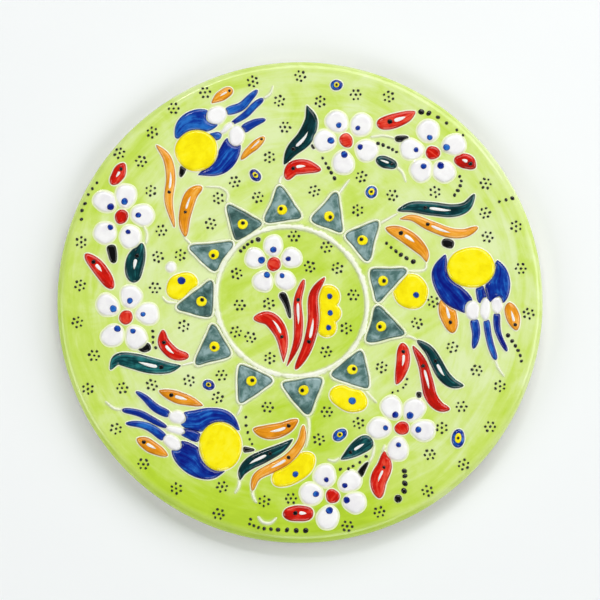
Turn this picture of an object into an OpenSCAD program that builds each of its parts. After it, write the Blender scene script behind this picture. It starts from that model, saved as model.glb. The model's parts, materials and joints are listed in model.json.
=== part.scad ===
// Raised-enamel ceramic plate: a flat glazed clay disc on a cork pad. Every enamel motif laid
// on its top face is a separate raised piece.
// The origin is at the plate's centre, on the surface that it stands on. +Z is up, and +Y
// points to the top of the pattern.

/* [Plate] */
// Diameter over the glazed rim
plate_d = 180; // [130:1:300]
// Thickness of the clay disc between its underside and its top face
clay_t = 6; // [4:0.25:14]
// Thickness of the ground glaze
glaze_t = 0.5; // [0.3:0.1:1]
// Outer radius of the shoulder, where the glazed top turns down into the side
shoulder_r = 3; // [1.5:0.1:4]
// Radius of the worn edge between the side and the underside
heel_r = 1; // [0.5:0.1:1.5]
// Height of the bare clay band that the ground glaze leaves above the underside
bare_band = 1.6; // [1.2:0.1:2.5]

/* [Foot and cork] */
// Height of the foot ring below the underside
foot_h = 1.6; // [0.8:0.1:3]
// Width of the foot ring
foot_w = 6; // [3:0.5:12]
// Distance from the rim in to the foot ring
foot_inset = 12; // [5:0.5:25]
// Thickness of the cork pad
cork_t = 2; // [1:0.1:4]
// Thickness of the adhesive film above the cork
adhesive_t = 0.2; // [0.1:0.05:0.5]
// Gap between the cork pad and the foot ring
cork_gap = 0.75; // [0.25:0.25:3]

/* [Medallion] */
// Diameter of the raised ring around the middle, along its centre line
medallion_d = 56; // [42:1:70]
// Width of the raised ring line
ring_w = 1.8; // [1:0.1:2.5]
// Width of the raised line around each crown petal
crown_line_w = 0.8; // [0.5:0.1:1]

/* [Enamel] */
// Height of the coloured enamel pads above the ground glaze
pad_h = 0.8; // [0.4:0.1:1.5]
// Height of the raised cream lines
line_h = 0.7; // [0.3:0.1:1.2]
// Height of the pieces laid on top of a coloured pad
top_h = 0.45; // [0.2:0.05:0.8]
// Diameter of a small black slip dot
dot_d = 0.8; // [0.6:0.05:1]
// Height of a small black slip dot
dot_h = 0.5; // [0.3:0.1:0.9]
// Distance from the middle dot of a cluster to the six around it
cluster_r = 1.8; // [1.5:0.05:2.2]
// Width of the branch lines
branch_w = 0.9; // [0.6:0.1:1.2]
// Bare gap left between neighbouring enamels
gap = 0.3; // [0.2:0.05:0.5]

/* [Hidden] */
BLOSSOM_PIECES = ["petals", "stamens", "centre"];
TULIP_PIECES = ["cup", "petals", "knuckles", "fingers"];
SINGLE_NODES = [
    "ceramic_body", "ground_glaze", "cork_pad", "cork_adhesive", "medallion_ring",
    "crown_petals", "crown_outlines", "crown_yellow_drops", "crown_black_dots", "branch_lines",
    "red_leaves", "orange_leaves", "green_leaves", "centre_red_leaves", "leaf_white_streaks",
    "leaf_black_dots", "yellow_buds", "centre_yellow_wing", "white_bud_cap", "bud_blue_dots",
    "black_calyxes", "bead_blue_rings", "bead_yellow_drops", "bead_black_dots", "dot_clusters",
    "dot_rows", "big_row_dots"
];

$fn = 96;

// Heights, from the surface that the plate stands on
underside_z = max(foot_h, cork_t + adhesive_t);
clay_top_z = underside_z + clay_t;
ground_z = clay_top_z + glaze_t;
pad_top_z = ground_z + pad_h;

// Radii of the disc and of what is under it
rim_r = plate_d / 2;
flat_r = rim_r - shoulder_r;
foot_r = rim_r - foot_inset;
cork_r = foot_r - foot_w - cork_gap;

// The pattern is drawn on a flat top of this radius, around a medallion of this diameter
// whose middle lies a little to the left.
drawn_flat_r = 87;
drawn_medallion_d = 56;
drawn_medallion = [-2.5, 0];
drawn_reach = 90;
pattern_k = flat_r / drawn_flat_r;

// A point of the drawing on the real plate. The inside of the medallion stretches with
// medallion_d, and the field around it takes up the difference.
function place(p) =
    let (v = p - drawn_medallion, r = norm(v), r0 = drawn_medallion_d / 2, r1 = medallion_d / 2)
    let (outer = r1 + (r - r0) * (drawn_reach - r1) / (drawn_reach - r0))
    let (q = r < r0 ? r * r1 / r0 : min(max(r, r1), outer))
    let (moved = r < r0 ? q : r < drawn_reach ? outer : r)
    pattern_k * (drawn_medallion + (r > 0 ? v * moved / r : v));

// ---- Outlines, as lists of points on the plate ----

function polar(r, a) = [r * cos(a), r * sin(a)];

// A hand-drawn unevenness between -1 and 1, the same for the same two numbers
function wobble(i, j) = sin(i * 137 + j * 71);

// A point of the smooth curve through points p, at t from 0 to 1 (Catmull-Rom)
function curve_at(p, t) =
    let (n = len(p) - 1, i = min(floor(t * n), n - 1), u = t * n - i)
    let (b = p[i], c = p[i + 1])
    let (a = i > 0 ? p[i - 1] : 2 * b - c, d = i < n - 1 ? p[i + 2] : 2 * c - b)
    (2 * b + (c - a) * u + (2 * a - 5 * b + 4 * c - d) * u * u
        + (3 * b - a - 3 * c + d) * u * u * u) / 2;

// The direction of that curve at t, and the one square to it on the left
function heading(p, t) =
    let (v = curve_at(p, min(1, t + 0.01)) - curve_at(p, max(0, t - 0.01)))
    v / norm(v);
function left_of(v) = [-v[1], v[0]];

// Half-width of a brush stroke at t, from its half-widths at the start, middle and end. The
// last factor rounds the two ends.
function stroke_half(w, t) =
    (w[0] * (1 - t) * (1 - 2 * t) + 4 * w[1] * t * (1 - t) + w[2] * t * (2 * t - 1))
        * sqrt(max(0, 1 - pow(abs(2 * t - 1), 8)));

// A brush stroke: up one side of the spine and down the other, each point grow further out
function stroke(w, spine, grow = 0) =
    let (steps = 5 * len(spine) + 3)
    let (side = [for (i = [0:steps]) (1 - cos(180 * i / steps)) / 2])
    let (wide = [for (t = side) stroke_half(w, t) + grow * sqrt(max(0, 1 - pow(abs(2 * t - 1), 8)))])
    let (across = [for (t = side) left_of(heading(spine, t))])
    let (along = [for (t = side) curve_at(spine, t) + (2 * t - 1) * grow * heading(spine, t)])
    concat(
        [for (i = [0:steps]) place(along[i] + wide[i] * across[i])],
        [for (i = [steps - 1:-1:1]) place(along[i] - wide[i] * across[i])]
    );

// An egg: an ellipse that is turned, and slimmer towards its -X end by the share taper
function egg(c, rx, ry, turn = 0, taper = 0, grow = 0, steps = 32) =
    [for (i = [0:steps - 1])
        let (a = 360 * i / steps, x = (rx + grow) * cos(a))
        let (y = (ry + grow) * sin(a) * (1 + taper * cos(a)))
        place(c + [x * cos(turn) - y * sin(turn), x * sin(turn) + y * cos(turn)])];

// A triangle with rounded corners and full sides, as a radius that is 1 at the corners. The
// three sides face 60, 180 and 300 degrees, and the powers blend them.
function triangle_r(a) =
    let (sides = [for (n = [60, 180, 300]) pow(max(0, cos(a - n)), 5)])
    pow((sides[0] + sides[1] + sides[2]) / 2, -1 / 5) / 2;

// A crown petal: such a triangle with its tip outwards. turn is its direction from the
// medallion's middle, and lean carries the tip round anticlockwise.
function tooth(turn, half, lean, grow = 0) =
    let (middle_r = 34.7, reach = 8.4, steps = 48)
    [for (i = [0:steps - 1])
        let (a = 360 * i / steps, r = triangle_r(a))
        let (u = middle_r + (reach * r + grow) * cos(a))
        let (v = (half / sin(60) * r + grow) * sin(a) + lean * (u - middle_r) / reach)
        place(drawn_medallion + polar(norm([u, v]), turn + atan2(v, u)))];

// ---- The drawing: what is laid where, in millimetres on the drawn top ----

// Crown petals: direction, half-width at the base, lean
CROWN = [
    [97, 6.6, 0], [67, 6.1, 1], [41, 6.2, 1.5], [12, 6.2, 2], [-17, 6.8, 0], [-50, 7, 0],
    [-83.5, 7.4, 0.5], [-117, 6.8, 0], [-149, 6.7, 2], [-179, 6.7, 2], [150, 6.3, 2],
    [123.5, 5.9, 0.5]
];
crown_drop_r = 1.95;
crown_drop_at = 34;
crown_dot_r = 0.75;

// Blossoms: middle, then the directions of the five petals
BLOSSOMS = [
    [[-66.3, 31.2], [137, 78, 5, -66, -135]],
    [[17.2, 59.9], [116, 47, -26, -98, 181]],
    [[49.4, 55.3], [102, 21, -60, -124, 171]],
    [[-64.4, -6.4], [147, 77, 9, -64, -126]],
    [[12, -73], [111, 40, -17, -102, 174]],
    [[37.6, -47.8], [116, 57, -6, -101, 180]],
    [[-9.7, 13.4], [92, 20, -55, -122, 162]]
];
// How large the petals of each blossom are beside the others
blossom_scale = [1, 1, 1, 1, 1, 1, 0.88];
petal_at = 8.1;
petal_half = 4.3;
petal_wide = 3.9;
stamen_at = 5.9;
stamen_r = 1.15;
centre_r = 2.6;

// Tulips: the cup as [middle, half-sizes], then strokes as [half-widths, spine]
TULIP_CUPS = [[[-38.5, 56.1], [8, 7.6]], [[63.4, 12.2], [8.7, 7.7]], [[-29.4, -54.6], [8, 8.9]]];
TULIP_PETALS = [
    [
        [[1, 4.8, 2.4], [[-46.2, 61], [-42.2, 65], [-36.9, 67.1], [-30.3, 67]]],
        [[3, 3.6, 0.4], [[-24.4, 61.4], [-26.7, 54.5], [-30.4, 49.8], [-38, 46.9]]],
        [[0.6, 1.6, 0.9], [[-34.8, 61], [-32, 61.3], [-29.2, 62.4]]]
    ], [
        [[0.8, 4.2, 1.8], [[53.9, 17.2], [52.1, 10], [55.3, 3.2], [60.3, -0.8], [63.8, -4.6]]],
        [[0.5, 4.4, 2.8], [[73.2, 15], [73.6, 9.5], [73.2, 4], [72.9, -1.8]]],
        [[0.5, 1.8, 1.4], [[66.2, 6.6], [66.9, 3], [67.8, -1.4]]]
    ], [
        [[0.4, 4.2, 2.4], [[-22.4, -48.5], [-27.3, -44.5], [-33, -44.4], [-38.5, -45], [-45, -44]]],
        [[0.4, 4.9, 2.8], [[-27.6, -63.8], [-34, -62.9], [-40.6, -58.9], [-46.6, -53.4]]],
        [[0.9, 1.7, 1.9], [[-45, -48.5], [-41, -50], [-36.6, -51.6]]]
    ]
];
TULIP_KNUCKLES = [
    [[[-31, 69.4], 3.9, 3.1, 20], [[-27.2, 64.6], 3, 0.95, 38], [[-23.6, 61.6], 2.9, 3.7, -10]],
    [[[63.9, -3.9], 2.6, 3.5, 10], [[68.6, -3.4], 1.8, 4.2, 0], [[72.9, -1.9], 2, 3.2, 0]],
    [[[-45.4, -43.7], 3.1, 2.3, -20], [[-46, -48.5], 3.3, 1.4, -12], [[-47.2, -53.1], 3.5, 2.4, -33]]
];
TULIP_FINGERS = [
    [
        [[1.7, 1.5, 0.7], [[-28, 70.6], [-22.3, 72.5], [-18.9, 75.8], [-15.8, 79]]],
        [[0.8, 1.2, 1], [[-25.8, 66], [-20.6, 69.4], [-17, 73], [-13.6, 75.8]]],
        [[1.7, 1.4, 0.7], [[-21.6, 63.6], [-17.3, 66.4], [-12.8, 67.9]]]
    ], [
        [[1.6, 1.5, 0.7], [[64.3, -6.8], [65.2, -12.5], [64.1, -18.2]]],
        [[1.3, 1.2, 1.1], [[68.9, -7], [70, -14.5], [72.5, -22.4]]],
        [[1.4, 1.1, 0.7], [[72.9, -4.4], [73.3, -12], [76.6, -19.2]]]
    ], [
        [[1.7, 1.3, 0.7], [[-47.9, -43], [-53.4, -40.2], [-57.2, -36.6], [-60.8, -34.1]]],
        [[0.9, 1.2, 1], [[-49, -47.6], [-55, -44.4], [-60, -42.1], [-65.8, -41]]],
        [[1.7, 1.4, 0.7], [[-49.6, -51.9], [-54.4, -48.2], [-59, -46.4], [-64.4, -46]]]
    ]
];

// Leaves: half-widths, spine, then [dot, streak end, dot radius] with the first two as
// shares of the spine. The white streak runs from the dot and thins towards its end.
RED_LEAVES = [
    [[0.8, 2.4, 1.1], [[-65.3, 51.4], [-67.3, 47.5], [-70, 43.4]], [0.3, 0.72, 0.8]],
    [[1.4, 2.8, 0.9], [[-5, 45.2], [-2.5, 49.3], [2.5, 50.1], [7.8, 48.9]], [0.33, 0.66, 0.9]],
    [[1.7, 2.7, 0.6], [[28.6, 66.3], [33, 66.8], [38.5, 68.4], [43, 70.8]], [0.36, 0.74, 1.1]],
    [[1.2, 2.8, 1], [[57.4, 53], [61.5, 52.1], [65.2, 49.7]], [0.74, 0.3, 0.95]],
    [[0.9, 2.6, 1.4], [[-79.5, 17.2], [-74.5, 11.9], [-69.3, 4.4]], [0.3, 0.62, 1]],
    [[0.9, 2.3, 1.3], [[-50.8, -11], [-50.3, -16], [-46.5, -20.2], [-41.2, -21]], [0.33, 0.68, 0.9]],
    [[1.2, 2.5, 0.7], [[37.9, -16], [38.2, -23], [35.6, -31.5]], [0.25, 0.64, 0.85]],
    [
        [0.8, 2.2, 1.1],
        [[41.7, -17], [44.9, -23], [47, -30], [48.4, -36], [51.5, -39.7], [55.5, -40.8]],
        [0.25, 0.52, 0.85]
    ],
    [[1.5, 3, 1.9], [[-6.2, -80], [-0.6, -79.4], [4.8, -79.8]], [0.4, 0.8, 1]],
    [[0.9, 3, 1.3], [[31.2, -56.3], [31.1, -62], [28.8, -68], [29.4, -74]], [0.36, 0.68, 0.75]]
];
ORANGE_LEAVES = [
    [
        [0.4, 1.8, 0.4],
        [[-53.4, 58.2], [-49.4, 53], [-48, 46], [-48.7, 37], [-46.6, 27.2]],
        [0.66, 0.42, 0.75]
    ],
    [
        [1.2, 2.4, 0.6],
        [[-36.4, 42.5], [-40, 39.8], [-42.3, 34], [-43, 28.5], [-42.5, 23.9]],
        [0.55, 0.28, 0.7]
    ],
    [[0.3, 1.8, 1.2], [[-33, 73.9], [-29, 77], [-25, 79.3]], [0.84, 0.36, 0.65]],
    [[0.4, 1.5, 0.9], [[-22, 52.7], [-17.8, 57.1], [-13.2, 61.3]], [0.88, 0.4, 0.6]],
    [
        [0.5, 1.8, 1.1],
        [[36.8, 30.4], [42, 30.8], [48, 28], [55, 25.3], [61, 25], [66, 27.3]],
        [0.38, 0.64, 0.85]
    ],
    [
        [1.2, 2.5, 0.4],
        [[31.6, 27.1], [37, 25.2], [42, 21.9], [45.8, 18], [47, 14.2]],
        [0.27, 0.54, 1]
    ],
    [[1.5, 3.1, 1.2], [[53.2, 0.7], [54.8, -5], [56.6, -12.4]], [0.74, 0.24, 0.85]],
    [[1, 2.5, 0.8], [[77.4, -0.8], [78.7, -6], [80.2, -11.2]], [0.82, 0.28, 0.8]],
    [[0.7, 2.1, 0.4], [[-52.3, -33.8], [-47, -35.8], [-41.5, -37.4], [-35.8, -39.4]], [0.3, 0.68, 0.95]],
    [[0.8, 2.3, 0.5], [[-60.2, -51.7], [-55, -54.6], [-48.9, -58]], [0.25, 0.68, 0.9]],
    [[0.8, 2.8, 0.7], [[-17.3, -48.2], [-12, -49.2], [-6, -48], [-0.8, -44.7]], [0.78, 0.36, 0.9]],
    [
        [1, 1.7, 1],
        [[1.3, -46.6], [0.3, -53], [-4.2, -58.8], [-10.5, -62.7], [-16, -66], [-17.7, -71.2]],
        [0.4, 0.62, 0.85]
    ]
];
GREEN_LEAVES = [
    [[0.5, 2.9, 0.5], [[2.5, 73.4], [4.2, 67.5], [1.8, 61], [-3, 56], [-6, 50.8]], [0.72, 0.4, 0.95]],
    [[1.3, 2.1, 1.2], [[28.2, 53], [32, 51.7], [36, 50.1]], [0.76, 0.16, 0.7]],
    [
        [0.8, 2.6, 0.6],
        [[36.2, 33.6], [42, 34.9], [49, 34.2], [56, 33.5], [61.5, 35], [64.8, 39.7]],
        [0.33, 0.62, 0.9]
    ],
    [[0.8, 3.5, 1.9], [[-58.6, 21.3], [-61, 14.5], [-61.9, 6.6]], [0.36, 0.72, 1]],
    [
        [0.5, 3, 0.5],
        [[-70.2, -26], [-67.5, -22], [-61.5, -22.8], [-55, -24.6], [-49, -25.3], [-44, -24.5]],
        [0.72, 0.44, 1]
    ],
    [
        [0.8, 2.3, 0.8],
        [[43.4, -15.1], [47.5, -18.6], [50.3, -23.3], [53, -28], [56.5, -31], [60.6, -32]],
        [0.38, 0.64, 0.9]
    ],
    [
        [0.6, 2.3, 0.4],
        [[-2.5, -51.8], [-7.5, -55.4], [-13, -58.2], [-18.3, -60.9], [-21.3, -63.8], [-22.2, -67.2]],
        [0.33, 0.64, 0.9]
    ],
    [[1.9, 2.9, 0.4], [[26.8, -52], [22.3, -54.5], [15, -59.4]], [0.76, 0.34, 0.85]]
];
CENTRE_LEAVES = [
    [[1.2, 2.6, 0.3], [[-17.3, -6.8], [-11, -7], [-6.8, -13.5], [-6.1, -23.4]], [0.68, 0.36, 0.8]],
    [[0.9, 1.6, 0.5], [[1.5, 7.8], [-0.7, 0], [-0.6, -8], [-1.2, -16], [-5, -25]], [0.25, 0.56, 0.85]],
    [[0.8, 2, 1.2], [[9.2, 8.6], [5.2, 2], [4.8, -8], [2.7, -17.5], [-1.7, -26]], [0.7, 0.46, 0.9]]
];

// Yellow buds: middle, half-sizes, turn, then the blue dot's middle and radius
BUDS = [
    [[-43.8, 5.3], [6.3, 4.6], 28, [-43.9, 7.2], 1.5],
    [[41, 3.2], [6.5, 6.5], 0, [43, 1.8], 1.15],
    [[18, -36.8], [7.1, 4.7], -18, [19.3, -37.7], 1.4],
    [[-2.2, -63.2], [9.2, 4.7], 36, [-1.7, -65], 1.15]
];
WING_LOBES = [[[10.5, 1.2], 4.5, 4.3], [[10.4, -4.9], 4.8, 3.9], [[9.8, -10.2], 3.6, 3.8]];
WING_DOTS = [[11, 1.3], [11.2, -4.9], [10.6, -10.4]];
wing_dot_r = 1.05;
bud_cap = [-47.8, 12.3];

// Black stems and calyxes: half-widths, spine
CALYXES = [
    [[1.1, 1.1, 0.5], [[-43.3, 50.3], [-43.7, 48.4], [-44.3, 46.2]]],
    [[0.8, 1, 0.8], [[4.3, 57.4], [5.3, 57.8], [6.3, 58.2]]],
    [[0.9, 1.2, 0.7], [[35.3, 60.6], [37.8, 60.6], [40.3, 60.9]]],
    [[1.2, 1.7, 1.2], [[52.7, 22], [55, 21.2], [57.1, 20.8]]],
    [[1.6, 1.7, 1], [[-70.1, 20.7], [-69.6, 17.5], [-68.9, 13.9]]],
    [[0.8, 1.9, 0.8], [[-60, -17.8], [-57.6, -17.6], [-55.2, -18.2]]],
    [[1.1, 0.9, 0.3], [[-21, -55.8], [-19, -55.8], [-16.8, -55.9]]],
    [[0.4, 1, 1.2], [[25.2, -60.4], [23.3, -63], [21.6, -65.8]]],
    [[0.7, 0.9, 0.7], [[44, -34.2], [44, -35.3], [44, -36.5]]],
    [[1.5, 1.1, 0.5], [[-6.9, 2.8], [-4.9, -1.6], [-3.6, -6.8]]]
];

// Eye beads: middle, half-sizes and turn of the blue ring, half-sizes of the yellow drop
BEADS = [
    [[13.6, 80.8], [2.3, 1.9], 0, [1.1, 1]],
    [[-16.6, 46.8], [2.5, 1.8], -55, [1.3, 0.9]],
    [[26.5, 40.5], [2.1, 2.3], 0, [1.2, 1.4]],
    [[-33.8, -31.7], [2.2, 1.9], -20, [1, 0.9]],
    [[14.7, -50.3], [2.8, 2], 40, [1.1, 1]],
    [[58.4, -51.6], [3.4, 2.4], 85, [1.9, 1.3]]
];
bead_dot_r = 0.55;

// Middles of the seven-dot clusters
CLUSTERS = [
    [-47, 72], [-55, 63], [-67, 55.2], [-59, 52], [-55.5, 41], [-35.3, 78.1], [-17.5, 82.2],
    [-7.7, 74.8], [-5.6, 65], [-11.3, 53.7], [-24.2, 44.3], [0, 84.2], [7.5, 74.7], [20.8, 77.2],
    [33, 76.4], [22.7, 46.3], [69, 43.8], [-81.1, 21.7], [-51.5, 26], [-52.7, 16.3], [-81.4, 5.6],
    [-53.7, 4.5], [-30.4, 38.2], [-15.6, 38.7], [-33, 28.6], [-44.4, 16.8], [-2.3, 24],
    [-23.4, 10], [5.4, 40.9], [34.2, 39.3], [21.4, 33.8], [9.9, 19.9], [3.6, 12.4], [13.8, 12],
    [19.8, 2], [50.2, 40.5], [68.6, 32.6], [69.5, 23.8], [80.2, 27.7], [81.9, 11.8], [49.2, -0.6],
    [-82.4, -8.2], [-76.1, -20.7], [-78.4, -33.2], [-65.8, -32.8], [-54.7, -31.6], [-43, -9.7],
    [-22.4, -1.9], [-11.6, -1.2], [-23.6, -11.8], [-18.4, -14], [-11.2, -21.7], [-29, -28],
    [-40.9, -30.1], [-30.5, -36.5], [-12, -39.9], [17.2, -10.5], [9.7, -19.4], [43.2, -8.6],
    [30.2, -25], [10, -41.7], [21.6, -46], [56.3, -17.6], [65.4, -26.2], [74, -32.2],
    [59.6, -39.8], [84.6, -5], [-67.9, -48], [-57.8, -61.2], [-45.7, -70.2], [-28.7, -69.5],
    [-29.9, -79.7], [-13.2, -75], [-3.4, -73.9], [7.1, -51.9], [29.3, -79], [17.4, -84.2],
    [52.4, -47.6], [48, -57.6], [47, -71.2], [60.3, -61.3], [70.3, -47.2]
];

// Rows of dots: the first and last radius, then the points they follow with a dot at each
DOT_ROWS = [
    [0.45, 0.55, [[-75.4, 44], [-77.1, 41.8], [-78.6, 39.6], [-79.8, 36.2], [-80.9, 33.6], [-81.1, 30.3]]],
    [0.5, 0.6, [[8.4, 53.3], [9.6, 51.3], [10.6, 49.6], [11.6, 47.8], [12.8, 45.7]]],
    [0.85, 0.4, [[45.1, 70.7], [47.9, 70.2], [51.3, 68.7], [54.5, 66.5], [58.3, 63.9], [60.6, 61.9]]],
    [0.6, 0.45, [[29, 58.8], [30.9, 58.2], [32.9, 57.3], [34.4, 56.5], [35.9, 55.6]]],
    [0.5, 0.55, [[59.3, 46.4], [59.9, 44.7], [59.5, 42.9], [58.6, 41.1], [57.4, 39.4]]],
    [0.5, 0.6, [[74, 36.9], [76.5, 37.6], [78.8, 38.2]]],
    [0.5, 0.7, [[32.1, 21.3], [33.8, 19.7], [35.6, 18.3], [37.4, 17], [39.5, 15.7], [42, 14.4]]],
    [0.65, 0.5, [[77, -13.2], [78.5, -15.3], [79.7, -17.1], [80.7, -18.8], [81.5, -20.7], [81.9, -22.8]]],
    [0.5, 0.45, [[-54.5, -11.6], [-54.4, -13.8], [-54.4, -15.8], [-53.4, -17.8]]],
    [0.45, 0.4, [[-20, -43.7], [-19.9, -46.8], [-19.3, -49.4], [-18.6, -51.9], [-17.7, -53.7]]],
    [0.5, 0.5, [[14.9, -63.1], [17.9, -62.9], [19.6, -61.9], [22.1, -60.5], [24.4, -58.3]]],
    [0.75, 0.95, [[38.5, -63.7], [38.7, -65.6], [38.7, -68.3], [38.4, -71.1]]],
    [0.45, 0.45, [[-18.2, -81.6], [-18.6, -83.4], [-17, -84], [-15.3, -84.7]]],
    [0.6, 0.8, [[-13.2, -85.1], [-10.7, -85.3], [-8.1, -85.5], [-4.8, -85.6], [-1.4, -85.8], [2.1, -85.8]]],
    [0.35, 0.35, [[39.6, -29.5], [39.1, -31.5], [38.2, -32.7], [36.2, -33.9], [34.2, -34.5]]],
    [0.5, 0.55, [[-22, 18.4], [-20.7, 19.7], [-19.4, 20.9], [-17.8, 21.9]]]
];
BIG_DOTS = [[[-15.5, 22.7], 0.9], [[36.2, -74], 1.4]];

// Branch lines: they run from the crown's tips, and from blossoms, to the leaves around them
BRANCHES = [
    [[-7.6, 43], [-7.2, 45.6], [-5.4, 47.4]],
    [[13.6, 38.2], [15.2, 41], [18.4, 45.2]],
    [[-27.2, 36.6], [-26.9, 40], [-29.6, 42.2], [-35.2, 42.6]],
    [[29, 28.4], [33, 30.6], [36.2, 32.4]],
    [[39.6, 11], [43.4, 10.8], [46.4, 11.6], [47, 14.4]],
    [[36.8, -13.8], [40.4, -13.6], [44, -15.4]],
    [[23.4, -32.8], [25.8, -35.6], [28.4, -38.4]],
    [[2, -41.8], [3.2, -45], [3.2, -49.6], [2.2, -55]],
    [[-21.6, -38], [-22.1, -40.9], [-23.2, -43]],
    [[-36.6, -23], [-40, -23.4], [-44.4, -24.6]],
    [[-45.4, -1], [-49, -0.6], [-51, 1.4]],
    [[-40.4, 21], [-42, 22.6], [-43.2, 24.4]],
    [[-57.1, 21], [-56.7, 25], [-58.2, 28.2]],
    [[26.2, 61.2], [31, 61.8], [36, 60.6]],
    [[35.4, 50.4], [38, 48], [39.4, 44.2]],
    [[27.4, -54], [26.8, -58], [25.2, -61]],
    [[31.4, -54], [30.6, -56.4], [31.2, -58]],
    [[-22.3, -66], [-22.6, -69.4], [-24, -72]],
    [[-17.6, -70], [-17.3, -73], [-16, -75.6]],
    [[14.6, -59], [12.4, -60], [10.2, -59.4]],
    [[72.2, -21.4], [73.2, -25], [75.6, -28.6]],
    [[-65, -41], [-68.6, -40.4], [-72, -37.8]],
    [[-14.2, 75.4], [-11.2, 77.4], [-10, 80.6]],
    [[-15.5, -80.6], [-13.6, -82.8], [-10.8, -83], [-8.6, -81]]
];

// ---- Flat pieces that the modules share ----

module flat_pad(z, h) {
    translate([0, 0, z]) linear_extrude(h) children();
}

module round_drop(c, r, z, h) {
    translate(concat(place(c), z)) cylinder(r = r * pattern_k, h = h);
}

module leaf_shapes(leaves, grow = 0) {
    for (leaf = leaves) polygon(stroke(leaf[0], leaf[1], grow));
}

module tooth_shapes(grow = 0) {
    for (petal = CROWN) polygon(tooth(petal[0], petal[1], petal[2], grow));
}

// Leaf pads, held back from the flowers beside them
module leaf_pads(leaves) {
    flat_pad(ground_z, pad_h) difference() {
        leaf_shapes(leaves);
        for (i = [1:3]) tulip_petal_shapes(i, gap);
        for (i = [1:7]) blossom_petal_shapes(i, gap);
    }
}

module tulip_petal_shapes(i, grow = 0) {
    for (petal = TULIP_PETALS[i - 1]) polygon(stroke(petal[0], petal[1], grow));
}

module tulip_finger_shapes(i, grow = 0) {
    for (finger = TULIP_FINGERS[i - 1]) polygon(stroke(finger[0], finger[1], grow));
}

module knuckle_shapes(i, grow = 0) {
    for (k = TULIP_KNUCKLES[i - 1]) polygon(egg(k[0], k[1], k[2], k[3], 0, grow));
}

function blossom_name(i, piece) = str("blossom_", i, "_", piece);
function tulip_name(i, piece) = str("tulip_", i, "_", piece);
function curve_length(p) = len(p) < 2 ? 0 : sum([for (i = [1:len(p) - 1]) norm(p[i] - p[i - 1])]);
function sum(v, i = 0) = i < len(v) ? v[i] + sum(v, i + 1) : 0;
function leaf_dot_r(leaf) = 0.9 * leaf[2][2];
function all_leaves() = concat(RED_LEAVES, ORANGE_LEAVES, GREEN_LEAVES, CENTRE_LEAVES);

// ---- The disc and what is under it ----

module ceramic_body() {
    clay_r = rim_r - glaze_t;
    corner_r = shoulder_r - glaze_t;
    color("#d9c3a3") rotate_extrude() union() {
        translate([0, underside_z]) square([clay_r - heel_r, heel_r]);
        translate([clay_r - heel_r, underside_z + heel_r]) circle(heel_r);
        translate([0, underside_z + heel_r]) square([clay_r, clay_t - heel_r - corner_r]);
        translate([flat_r, clay_top_z - corner_r]) circle(corner_r);
        translate([0, clay_top_z - corner_r]) square([flat_r, corner_r]);
        translate([foot_r - foot_w, underside_z - foot_h]) square([foot_w, foot_h + heel_r]);
    }
}

module ground_glaze() {
    shoulder_z = clay_top_z - (shoulder_r - glaze_t);
    color("#cfe66e") rotate_extrude() union() {
        translate([0, clay_top_z]) square([flat_r, glaze_t]);
        intersection() {
            translate([flat_r, shoulder_z]) difference() {
                circle(shoulder_r);
                circle(shoulder_r - glaze_t);
            }
            translate([flat_r, shoulder_z]) square(shoulder_r);
        }
        translate([rim_r - glaze_t, underside_z + bare_band])
            square([glaze_t, shoulder_z - underside_z - bare_band]);
    }
}

module cork_pad() {
    color("#a9804f") translate([0, 0, underside_z - adhesive_t - cork_t]) cylinder(r = cork_r, h = cork_t);
}

module cork_adhesive() {
    color("#d8cfae") translate([0, 0, underside_z - adhesive_t]) cylinder(r = cork_r, h = adhesive_t);
}

// ---- Medallion and crown ----

// The ring is drawn freehand: it swells to the upper left and is drawn in at the upper right.
ring_swell = 0.8;

function ring_line(offset_r) =
    [for (a = [0:3:357])
        let (r = drawn_medallion_d / 2 + offset_r + ring_swell * (cos(2 * a - 270) + cos(a - 215)))
        place(drawn_medallion + polar(r, a))];

module medallion_ring() {
    color("#f1f6dc") flat_pad(ground_z, line_h) difference() {
        polygon(ring_line(ring_w / 2));
        polygon(ring_line(-ring_w / 2));
    }
}

module crown_petals() {
    color("#78928f") flat_pad(ground_z, pad_h) difference() {
        tooth_shapes();
        polygon(ring_line(ring_w / 2 + gap));
    }
}

module crown_outlines() {
    color("#f1f6dc") flat_pad(ground_z, line_h) difference() {
        tooth_shapes(gap / 2 + crown_line_w);
        tooth_shapes(gap / 2);
        polygon(ring_line(ring_w / 2 + gap / 2));
    }
}

module crown_yellow_drops() {
    color("#fff02a") for (petal = CROWN)
        round_drop(drawn_medallion + polar(crown_drop_at, petal[0]), crown_drop_r, pad_top_z, top_h);
}

module crown_black_dots() {
    color("#15140e") for (i = [0:len(CROWN) - 1])
        round_drop(
            drawn_medallion + polar(crown_drop_at + 0.4 * wobble(i, 1), CROWN[i][0] + wobble(i, 2)),
            crown_dot_r, pad_top_z + top_h, top_h
        );
}

module branch_lines() {
    color("#f1f6dc") flat_pad(ground_z, line_h) difference() {
        for (line = BRANCHES) polygon(stroke([branch_w / 2, branch_w / 2, branch_w / 3], line));
        tooth_shapes(gap / 2 + crown_line_w + gap / 3);
        leaf_shapes(all_leaves(), gap);
        for (stem = CALYXES) polygon(stroke(stem[0], stem[1], gap));
        for (i = [1:7]) blossom_petal_shapes(i, gap);
        for (i = [1:3]) tulip_finger_shapes(i, gap);
    }
}

// ---- Blossoms ----

// The room beside petal j: half the smaller angle to the petals next to it
function petal_room(turns, j) =
    min([for (k = [0:4]) if (k != j) let (d = abs(turns[k] - turns[j])) min(d, 360 - d)]) / 2;

function petal_width(turns, j) =
    min(petal_wide, petal_at * sin(petal_room(turns, j)) - gap / 2);

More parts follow.
